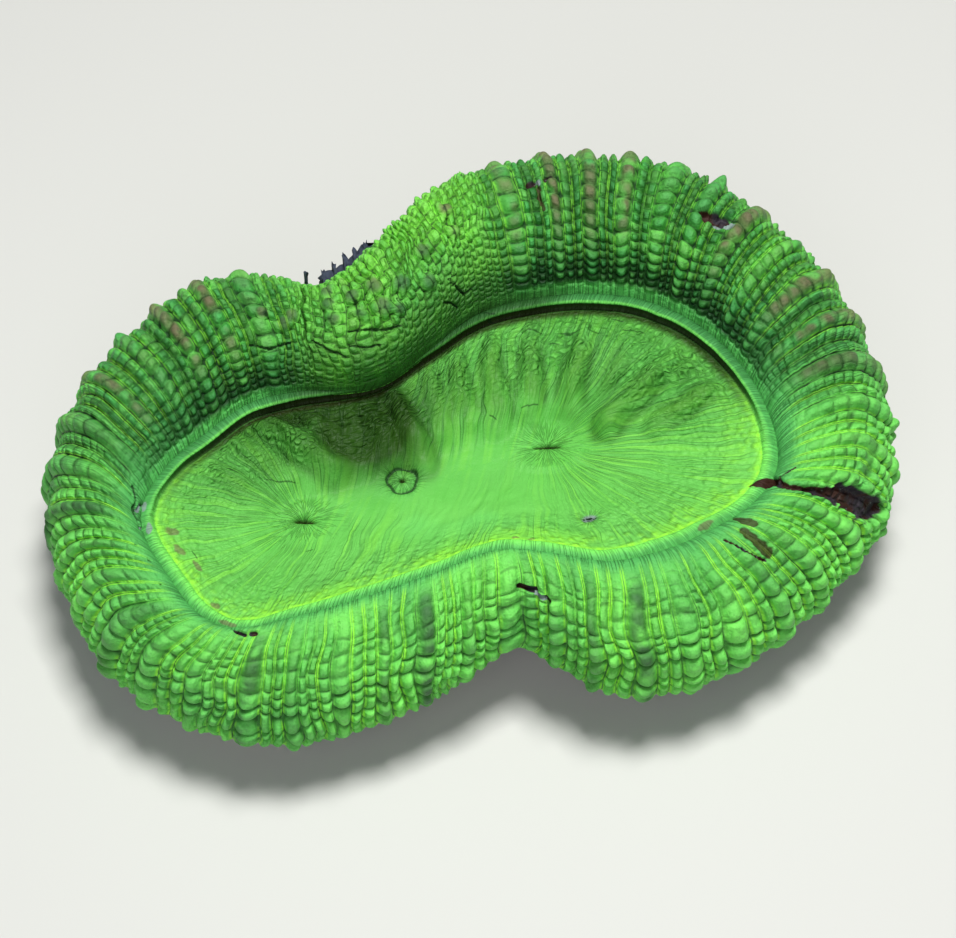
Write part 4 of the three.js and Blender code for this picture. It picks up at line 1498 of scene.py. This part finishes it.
def grain_group() -> bpy.types.NodeTree:
    """The fine uneven skin of the flesh: a height and a slow change of tone, each from 0 to 1."""
    tree, n, given, result = new_group("flesh grain", {"Size": 1.0}, ("Height", "Tone"), ("Place",))
    place = n.made(0, "VectorMath", {0: given["Place"], "Scale": given["Size"]}, operation="SCALE")
    fine = n.noise(place, 2600.0, 3.0, 0.6)
    coarse = n.noise(place, 900.0, 2.0, 0.5)
    n.put(result.inputs["Height"], coarse * 0.55 + 0.45 * fine)
    n.put(result.inputs["Tone"], n.noise(place, 70.0, 3.0, 0.55))
    return tree


@dataclass(frozen=True)
class FleshColours:
    """The living flesh's colours under light."""

    green: tuple[float, ...] = linear(82, 184, 64)
    light: tuple[float, ...] = linear(128, 232, 98)
    teal: tuple[float, ...] = linear(68, 156, 84)
    moss: tuple[float, ...] = linear(86, 160, 72)
    calm: tuple[float, ...] = linear(76, 168, 58)
    sheen: tuple[float, ...] = linear(110, 196, 88)
    pale: tuple[float, ...] = linear(110, 208, 104)
    lime: tuple[float, ...] = linear(152, 238, 62)
    deep: tuple[float, ...] = linear(7, 38, 12)
    mauve: tuple[float, ...] = linear(108, 100, 76)
    dusk: tuple[float, ...] = linear(60, 100, 60)
    # This dark green is laid only as painted shade.
    olive_shade: tuple[float, ...] = linear(34, 64, 10)
    drab: tuple[float, ...] = linear(78, 136, 48)
    # This dark brown is laid only as painted shadow.
    umber_shadow: tuple[float, ...] = linear(34, 40, 10)
    torn: tuple[float, ...] = linear(56, 32, 24)
    slate: tuple[float, ...] = linear(52, 46, 54)
    bare: tuple[float, ...] = linear(134, 152, 148)
    mouth: tuple[float, ...] = linear(46, 72, 20)


class Finish:
    """What every finish shares: the shader, its object coordinates and its pattern."""

    def __init__(self, name: str) -> None:
        """Starts a material with an empty tree."""
        self.material = bpy.data.materials.new(name)
        self.material.use_nodes = True
        self.material.node_tree.nodes.clear()
        self.nodes = Nodes(self.material.node_tree)
        self.place = self.nodes.made("Object", "TexCoord")
        part = self.nodes.parts(self.nodes.made(0, "UVMap", uv_map="pattern"))
        self.u, self.v = part["X"], part["Y"]
        self.colour: Value = (0.0, 0.0, 0.0, 1.0)

    def lay(self, share: Value, colour: Value) -> None:
        """Lays a colour over what is there, by a share from 0 to 1."""
        self.colour = self.nodes.mix(share, self.colour, colour)

    def finish(
        self,
        rough: Value,
        height: Value,
        bump: float,
        painted_glow: float,
        shine: dict[str, Value],
    ) -> bpy.types.Material:
        """Joins the results to a shader.

        Args:
            rough: Roughness of the surface.
            height: Its fine relief.
            bump: Depth of that relief in metres.
            painted_glow: Strength of painted light that the surface gives off in its own colour, which
                lifts its shaded parts.
            shine: Other inputs of the shader.

        Returns:
            The material.
        """
        n = self.nodes
        raised = n.made(0, "Bump", {"Height": height, "Distance": bump, "Strength": 1.0})
        inputs = {"Base Color": self.colour, "Roughness": rough, "Normal": raised, **shine}
        # Painted light: the flesh gives off a little light in its own colour, though it is no lamp.
        if painted_glow:
            inputs |= {"Emission Color": self.colour, "Emission Strength": painted_glow}
        n.add("OutputMaterial", {"Surface": n.made(0, "BsdfPrincipled", inputs)})
        return self.material


def mantle_finish(
    c: FleshColours,
    rays: bpy.types.NodeTree,
    grain: bpy.types.NodeTree,
) -> bpy.types.Material:
    """The beaded flesh of the mantle.

    Args:
        c: The flesh's colours.
        rays: The group of fine outward lines.
        grain: The group of the skin's grain.

    Returns:
        The material.
    """
    f = Finish("beaded_flesh")
    n = f.nodes
    out, far = n.attribute("out"), n.attribute("far")
    high, bold = n.attribute("high"), n.attribute("bold")
    row, bead = n.math("FLOOR", f.u), n.math("FLOOR", f.v)
    across, along = n.math("FRACT", f.u), n.math("FRACT", f.v)
    edge_u = n.math("MINIMUM", across, 1.0 - across)
    edge_v = n.math("MINIMUM", along, 1.0 - along)
    own = n.white(row, bead)
    of_line = n.white(n.math("ROUND", f.u), 7.5)
    skin = n.group(grain, {"Place": f.place, "Size": 1.0})
    tone = skin["Tone"]
    patchy = n.noise(f.place, 260.0, 2.0)

    ridge = n.attribute("ridge")
    beaded = n.math("MAXIMUM", n.span(out, 0.09, 0.2), far * n.span(out, 0.05, 0.09))
    near = 1.0 - far
    ends = far * near * 4.0
    f.colour = n.mix(n.span(own, 0.0, 1.0), c.green, c.light)
    # Painted light: the low near side is laid lighter than the tall side.
    f.lay(near * 0.9, c.light)
    f.lay(ends * 0.42, c.teal)
    pebbly = n.span(ridge, 11.6, 12.6) * n.fall(ridge, 17.2, 18.4)
    f.lay(pebbly * 0.45, c.lime)
    f.lay(n.span(tone, 0.35, 0.7, 0.0, 0.5), c.teal)
    middle = n.span(edge_u, 0.02, 0.44) * n.span(edge_v, -0.1, 0.42)
    crown = n.mix(n.span(own, 0.2, 0.8), c.teal, c.moss)
    duller = 0.75 - 0.65 * near
    duller *= 1.0 - 0.45 * pebbly
    middle *= n.span(skin["Height"], 0.2, 0.6, 0.75, 1.0)
    f.lay(middle * duller, crown)
    blotch = n.span(n.noise(f.place, 170.0, 2.0), 0.34, 0.5)
    covered = n.span(edge_u, -0.02, 0.3) * (0.72 + 0.28 * middle)
    tinted = n.attribute("tint") * covered * n.span(out, 0.12, 0.32)
    tinted = n.math("MULTIPLY", tinted, own * 0.2 + 0.8 * blotch, clamp=True)
    tinted *= 1.0 - 0.6 * pebbly
    f.lay(tinted, n.mix(n.span(far, 0.1, 0.6), c.dusk, c.mauve))
    # Painted light: the tall side is laid lighter towards its crest and outer edge.
    far_crest_light = n.span(out, 0.5, 0.85, 0.0, 0.4) * far
    f.lay(far_crest_light, c.light)
    nodule = n.span(n.attribute("nodule"), 0.15, 0.95, 0.0, 0.85) * n.span(blotch, 0.0, 1.0, 0.45, 1.0)
    f.lay(nodule, n.mix(n.span(tone, 0.35, 0.6), c.mauve, c.dusk))
    foot = n.span(out, 0.06, 0.4, 0.6, 0.0) * n.span(tone, 0.3, 0.6, 0.4, 1.0)
    f.lay(foot, c.teal)
    # Painted shade: darker where the rows and their beads sit low.
    sunk_shade = n.fall(high, 0.1, 0.52) * beaded
    f.lay(sunk_shade * (0.62 + 0.33 * far), c.deep)

    # Painted shade in the valleys between the ridges.
    between = n.span(n.math("COSINE", ridge * (2 * math.pi)), 0.1, 0.95, 0.0, 0.5)
    between *= 0.4 + 0.6 * far
    between *= n.span(out, 0.35, 0.95, 1.0, 0.5)
    between *= 1.0 - 0.8 * pebbly
    f.lay(between * beaded, c.deep)

    wide = 0.2 - 0.06 * bold
    line = n.span(edge_u, 0.01, 0.04) * n.fall(edge_u / wide, 0.5, 1.0)
    shown = n.span(of_line, 0.1, 0.6, 0.2, 1.0) * (0.75 - 0.3 * far)
    shown *= 1.0 - 0.85 * pebbly
    shown *= n.span(patchy, 0.3, 0.55, 0.6, 1.0)
    line *= shown * n.span(out, 0.05, 0.2)
    line *= n.span(high, 0.15, 0.4)
    f.lay(line, c.lime)

    faint = n.span(patchy, 0.35, 0.6, 0.35, 1.0)
    bumped = n.math("MAXIMUM", n.span(out, 0.15, 0.5, 0.35, 1.0), far)
    # Painted shade in the seams between beads and in the grooves between rows.
    crack = n.fall(edge_v, 0.0, 0.13) * n.span(edge_u, 0.06, 0.16)
    crack *= faint * bumped * 0.85
    parted = n.span(patchy, 0.4, 0.65, 0.15, 0.9) + 0.7 * ends
    narrow = edge_u / (1.0 + 1.2 * ends)
    groove = n.fall(narrow, 0.0, 0.05) * parted
    even = 1.0 - 0.9 * n.span(n.attribute("nodule"), 0.05, 0.3)
    dark = n.math("MAXIMUM", crack, groove) * beaded * even
    f.lay(dark * 0.85, c.deep)
    # Painted shade in the low pits of the skin's grain.
    pit_shade = n.span(skin["Height"], 0.34, 0.5, 0.42, 0.0) * beaded
    pit_shade *= 1.0 - 0.5 * near
    f.lay(pit_shade, c.deep)
    fine = n.group(rays, {"Around": ridge, "Outward": out, "Fineness": 11.0, "Shortness": 2.0})
    lined = (0.06 + 0.5 * ends) * (1.0 - 0.5 * bold)
    lined *= fine["Cuts"] * n.span(out, 0.45, 0.8, 1.0, 0.3)
    lined *= 1.0 - pebbly
    f.lay(lined, c.deep)
    # Painted shade at the foot of the tall side, under the mantle's overhang.
    hollow = n.span(out, 0.05, 0.09) * n.span(out, 0.1, 0.27, 0.9, 0.0)
    hollow *= n.span(far, 0.15, 0.75) * n.span(high, 0.5, 0.8, 1.0, 0.5)
    hollow *= 1.0 - 0.6 * pebbly
    f.lay(hollow, c.deep)

    band = 1.0 - beaded
    striped = n.mix(n.math("MULTIPLY_ADD", far, 0.3, 0.3, clamp=True), c.teal, c.pale)
    striped = n.mix(fine["Cuts"] * 0.45, striped, c.deep)
    # Painted shadow: the band is laid dark where the mantle folds over it.
    fold_shadow = n.span(ridge, 9.5, 11.5) * n.fall(ridge, 17.5, 19.5)
    striped = n.mix(fold_shadow * 0.7, striped, c.olive_shade)
    f.lay(band * 0.9, striped)
    # Painted shade on the pebbled flesh low down under the fold.
    under_fold_shade = pebbly * n.fall(out, 0.2, 0.34)
    f.lay(under_fold_shade * n.span(tone, 0.3, 0.6, 0.25, 0.6), c.olive_shade)

    bits = n.noise(f.place, 1200.0, 2.0)
    wound = n.mix(n.span(n.noise(f.place, 320.0, 2.0), 0.42, 0.58), c.torn, c.slate)
    wound = n.mix(n.span(bits, 0.66, 0.74, 0.0, 0.5), wound, c.bare)
    f.lay(n.span(n.attribute("torn"), 0.25, 0.6), wound)
    f.lay(n.span(n.attribute("crack"), 0.2, 0.8, 0.0, 0.75), c.deep)
    f.lay(n.span(n.attribute("bare"), 0.3, 0.7), c.bare)
    f.lay(n.span(n.attribute("stain"), 0.2, 0.8, 0.0, 0.85), c.torn)

    pillow = n.span(edge_v, 0.0, 0.34) * n.span(edge_u, 0.03, 0.3)
    height = (pillow - 1.0) * beaded * bumped
    height *= even
    height += 1.3 * skin["Height"]
    height -= 0.9 * lined
    height -= band * fine["Cuts"] * 0.4
    rough = n.span(skin["Height"], 0.3, 0.7, 0.42, 0.6)
    return f.finish(rough, height, 0.0004, 0.04, {"Specular IOR Level": 0.2})


def disc_finish(
    c: FleshColours,
    rays: bpy.types.NodeTree,
    spread: bpy.types.NodeTree,
    grain: bpy.types.NodeTree,
) -> bpy.types.Material:
    """The finely rayed flesh of the oral disc and its flange.

    Args:
        c: The flesh's colours.
        rays: The group of fine outward lines.
        spread: The group of lines round a mouth.
        grain: The group of the skin's grain.

    Returns:
        The material.
    """
    f = Finish("rayed_flesh")
    n = f.nodes
    out, far = n.attribute("out"), n.attribute("far")
    skin = n.group(grain, {"Place": f.place, "Size": 1.0})
    tone = skin["Tone"]
    bend = n.noise(f.place, 90.0, 2.0) - 0.5
    bent = f.u + bend * n.span(out, 0.1, 0.4, 0.0, 0.9)
    wide = n.group(rays, {"Around": bent, "Outward": out, "Fineness": 4.5, "Shortness": 1.2})
    close = n.group(rays, {"Around": bent, "Outward": out, "Fineness": 9.0, "Shortness": 2.5})
    tiles = n.group(rays, {"Around": bent, "Outward": out, "Fineness": 3.6, "Shortness": 24.0})
    cushions = tiles["Cushions"]
    still = 1.0 - n.attribute("calm") * 0.85
    patchy = n.noise(f.place, 130.0, 2.0)
    drawn = still * n.span(patchy, 0.3, 0.6, 0.3, 1.0)
    cuts = n.math("MAXIMUM", wide["Cuts"] * 0.7, close["Cuts"] * 0.25)
    crests = wide["Crests"] * 0.5 * drawn
    cuts *= drawn * n.span(out, 0.05, 0.3)
    tiled = n.span(out, 0.3, 0.6) * n.fall(out, 0.99, 1.0)
    tiled *= still * n.span(patchy, 0.35, 0.6, 1.0, 0.45)
    tiled *= 0.3 + 0.7 * far
    broken = n.fall(cushions, 0.0, 0.5) * tiled
    raised = n.span(cushions, 0.5, 1.0) * tiled
    for mouth in MOUTHS:
        x, y = (mouth.x - BODY_CENTRE[0]) * MM, (mouth.y - BODY_CENTRE[1]) * MM
        inputs = {"X": x, "Y": y, "Stretch": 1.3, "Lines": mouth.lines, "Reach": mouth.reach * MM}
        spreading = n.group(spread, {"Place": f.place, **inputs})
        strength = spreading["Strength"]
        cuts *= 1.0 - strength
        cuts += 0.7 * spreading["Cuts"] * strength

    far = 0.5 + (far - 0.5) * n.span(out, 0.02, 0.45)
    near = 1.0 - far
    on_disc = n.fall(out, 1.0, 1.06)
    f.colour = n.mix(n.span(tone, 0.3, 0.65, 0.0, 0.75), c.calm, c.sheen)
    f.lay(n.span(patchy, 0.4, 0.7, 0.0, 0.45), c.moss)
    # Painted light and shade: the near side laid lighter, the far side darker where the tall mantle shades
    # it.
    f.lay(near * 0.7, c.sheen)
    far_disc_shade = far * n.span(out, 0.2, 0.8, 0.3, 0.6)
    f.lay(far_disc_shade * 0.8, c.moss)
    f.lay(crests * (0.55 - 0.3 * far), c.lime)
    # Painted light on the tops of the tiles' cushions.
    f.lay(raised * 0.3, c.sheen)
    grains = n.made("Distance", "TexVoronoi", {"Vector": f.place, "Scale": 620.0, "Randomness": 0.9})
    pearls = n.fall(grains, 0.1, 0.62)
    edge_glow = n.span(out, 0.78, 0.97) * (0.1 + 0.75 * near)
    rich = edge_glow * (n.span(tone, 0.4, 0.6, 0.45, 0.05) + 0.45 * pearls)
    f.lay(rich, c.lime)
    pooled = n.attribute("calm") * n.span(n.noise(f.place, 60.0, 1.0), 0.45, 0.6, 0.0, 0.5)
    f.lay(pooled, c.pale)
    smooth_fold = n.attribute("folded")
    cuts *= 1.0 - 0.6 * smooth_fold
    f.lay(smooth_fold * n.span(patchy, 0.3, 0.6, 0.45, 0.7), c.drab)
    # Painted shade in the creases beside the folds.
    f.lay(n.attribute("crease_shade") * 0.42, c.olive_shade)
    # Painted shade in the hollow behind the ringed mouth and along the flange beside it.
    f.lay(n.attribute("shade") * 0.95, c.olive_shade)
    f.lay(cuts * (0.38 + 0.2 * far), c.deep)
    # Painted shade in the gaps between the tiles' cushions.
    f.lay(broken * 0.32, c.deep)
    shadowed = far * far * n.span(out, 0.93, 0.985, 0.0, 0.85)
    f.lay(shadowed * on_disc, c.umber_shadow)

    striae = n.group(rays, {"Around": f.u, "Outward": out, "Fineness": 13.0, "Shortness": 0.6})
    lip = n.span(out, 1.0, 1.06)
    edge = n.mix(n.span(out, 1.3, 1.65, 0.9, 0.25), c.teal, n.mix(near, c.pale, c.light))
    edge = n.mix(striae["Cuts"] * 0.28, edge, c.deep)
    fold_shadow = n.span(f.u, 9.5, 11.5) * n.fall(f.u, 17.5, 19.5)
    edge = n.mix(fold_shadow * 0.75, edge, c.olive_shade)
    # Painted shade on the flange's outer face on the tall side, under the mantle.
    edge = n.mix(far * n.span(out, 1.6, 1.85, 0.3, 0.55), edge, c.deep)
    # Painted highlight along the top of the flange on the tall side.
    brim_light = n.span(out, 1.45, 1.53) * n.fall(out, 1.57, 1.66)
    brim_light *= 1.0 - 0.8 * fold_shadow
    edge = n.mix(brim_light * far * 0.6, edge, c.light)
    f.lay(lip, edge)
    # Painted shadow in the gap under the flange's top on the tall side.
    under = far * lip * n.fall(out, 1.36, 1.5)
    f.lay(under * 0.92, c.umber_shadow)
    rim_line = n.span(out, 0.965, 1.0) * n.fall(out, 1.06, 1.18)
    rim_line *= near * (0.45 + 0.5 * pearls)
    f.lay(rim_line, c.lime)
    f.lay(n.span(n.attribute("ring"), 0.3, 0.9, 0.0, 0.85), c.deep)
    f.lay(n.span(n.attribute("opening"), 0.2, 0.7), c.mouth)
    f.lay(n.span(n.attribute("crack"), 0.2, 0.9, 0.0, 0.65), c.deep)
    bits = n.noise(f.place, 1500.0, 2.0)
    f.lay(n.attribute("scar"), n.mix(n.span(bits, 0.5, 0.62), c.bare, c.deep))
    f.lay(n.span(n.attribute("torn"), 0.25, 0.6), c.torn)
    f.lay(n.span(n.attribute("bare"), 0.3, 0.8, 0.0, 0.8), c.bare)
    f.lay(n.span(n.attribute("stain"), 0.1, 0.9, 0.0, 0.7), c.mauve)

    height = skin["Height"] * 0.6
    height -= cuts * 0.5
    height += (cushions - 0.5) * tiled * 1.5
    height -= lip * striae["Cuts"] * 0.3
    studded = n.span(out, 0.5, 0.8, 0.15, 1.0) * still * n.fall(out, 0.98, 1.0)
    height += pearls * studded * 1.1
    rough = n.span(skin["Height"], 0.3, 0.7, 0.45, 0.62)
    return f.finish(rough, height, 0.0003, 0.04, {"Specular IOR Level": 0.18})


@dataclass(frozen=True)
class SkeletonColours:
    """The bare skeleton's colours."""

    pale: tuple[float, ...] = linear(176, 172, 160)
    shade: tuple[float, ...] = linear(96, 92, 84)
    crust: tuple[float, ...] = linear(126, 104, 110)
    slate: tuple[float, ...] = linear(58, 66, 84)


def skeleton_finish(name: str, c: SkeletonColours, slate: float) -> bpy.types.Material:
    """Porous, weathered coral stone.

    Args:
        name: The material's name.
        c: The skeleton's colours.
        slate: How much of the dark growth covers it, from 0 to 1.

    Returns:
        The material.
    """
    f = Finish(name)
    n = f.nodes
    pores = n.cells(f.place, 900.0)
    tone = n.noise(f.place, 60.0, 4.0, 0.6)
    fine = n.noise(f.place, 1400.0, 3.0, 0.6)
    f.colour = n.mix(n.span(tone, 0.35, 0.65), c.pale, c.crust)
    # Painted shade: the pores laid darker.
    f.lay(n.span(pores, 0.1, 0.45, 0.7, 0.0), c.shade)
    cover = n.span(n.noise(f.place, 160.0, 3.0), 0.7 - 0.6 * slate, 0.8 - 0.5 * slate)
    f.lay(cover, c.slate)
    height = fine * 0.5 + 0.6 * pores
    return f.finish(n.span(fine, 0.3, 0.7, 0.75, 0.95), height, 0.0004, 0.0, {})


@dataclass(frozen=True)
class SoftLight:
    """A square light: its place and size in metres, its power in watts and its colour."""

    name: str
    place: tuple[float, float, float]
    size: float
    power: float
    colour: tuple[float, float, float]


LIGHTS = (
    SoftLight("key_light", (0.06, 0.02, 0.72), 0.2, 6.0, (1.0, 1.0, 0.97)),
    SoftLight("fill_light", (-0.2, -0.6, 0.5), 0.6, 1.9, (0.95, 0.98, 1.0)),
)


@dataclass
class Studio:
    """The pale floor, the soft light and the camera."""

    target: tuple[float, float, float] = (0.001, -0.007, 0.026)
    azimuth: float = -10.0
    elevation: float = 55.0
    distance: float = 0.463
    lens: float = 100.0
    sensor: float = 36.0
    sky: tuple[float, ...] = (0.9, 0.95, 1.0, 1.0)
    sky_strength: float = 0.1
    floor_half: float = 2.5
    floor_colour: tuple[float, ...] = (0.62, 0.62, 0.6, 1.0)

    def build(self) -> None:
        """Builds the whole studio."""
        self._camera()
        self._floor()
        for lamp in LIGHTS:
            self._light(lamp)
        world = bpy.data.worlds.new("studio")
        world.use_nodes = True
        shade = world.node_tree.nodes["Background"]
        shade.inputs["Color"].default_value = self.sky
        shade.inputs["Strength"].default_value = self.sky_strength
        bpy.context.scene.world = world
        bpy.context.scene.view_settings.view_transform = "Standard"

    def _camera(self) -> None:
        """Places the camera at the photograph's angle."""
        a, e = math.radians(self.azimuth), math.radians(self.elevation)
        back = Vector((math.sin(a) * math.cos(e), -math.cos(a) * math.cos(e), math.sin(e)))
        data = bpy.data.cameras.new("camera")
        data.lens = self.lens
        data.sensor_width = self.sensor
        camera = bpy.data.objects.new("camera", data)
        camera.location = Vector(self.target) + back * self.distance
        camera.rotation_euler = back.to_track_quat("Z", "Y").to_euler()
        bpy.context.scene.collection.objects.link(camera)
        bpy.context.scene.camera = camera

    def _floor(self) -> None:
        """Makes the pale floor."""
        bm = bmesh.new()
        bmesh.ops.create_grid(bm, x_segments=8, y_segments=8, size=self.floor_half)
        mesh = bpy.data.meshes.new("floor")
        bm.to_mesh(mesh)
        bm.free()
        floor = bpy.data.objects.new("floor", mesh)
        bpy.context.scene.collection.objects.link(floor)
        material = bpy.data.materials.new("pale_floor")
        material.use_nodes = True
        shader = material.node_tree.nodes["Principled BSDF"]
        shader.inputs["Base Color"].default_value = self.floor_colour
        shader.inputs["Roughness"].default_value = 0.7
        mesh.materials.append(material)

    def _light(self, lamp: SoftLight) -> None:
        """Makes a light that points at the coral."""
        data = bpy.data.lights.new(lamp.name, "AREA")
        data.size = lamp.size
        data.energy = lamp.power
        data.color = lamp.colour
        light = bpy.data.objects.new(lamp.name, data)
        light.location = Vector(lamp.place)
        aim = Vector(lamp.place) - Vector(self.target)
        light.rotation_euler = aim.to_track_quat("Z", "Y").to_euler()
        bpy.context.scene.collection.objects.link(light)


def place_piece(piece: bpy.types.Object, material: bpy.types.Material) -> None:
    """Dresses a piece, makes it ride on the coral's body and reports it."""
    piece.data.materials.append(material)
    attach(piece, BODY)
    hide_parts(NODE)
    LOG.info("%s: %d faces", piece.name, len(piece.data.polygons))


def main() -> None:
    """Builds the coral and the studio round it."""
    logging.basicConfig(level=logging.INFO, format="%(name)s %(message)s")
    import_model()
    Studio().build()
    form = CoralForm()
    colours, stone = FleshColours(), SkeletonColours()
    rays, spread, grain = ray_group(), mouth_group(), grain_group()
    beaded = mantle_finish(colours, rays, grain)
    for lobe in Mantle().build(form):
        place_piece(lobe, beaded)
    place_piece(OralDisc().build(form), disc_finish(colours, rays, spread, grain))
    place_piece(SkeletonCone().build(form), skeleton_finish("coral_stone", stone, 0.3))
    place_piece(BareSepta().build(), skeleton_finish("bare_stone", stone, 0.95))
    bpy.context.view_layer.update()


if __name__ == "__main__":
    main()
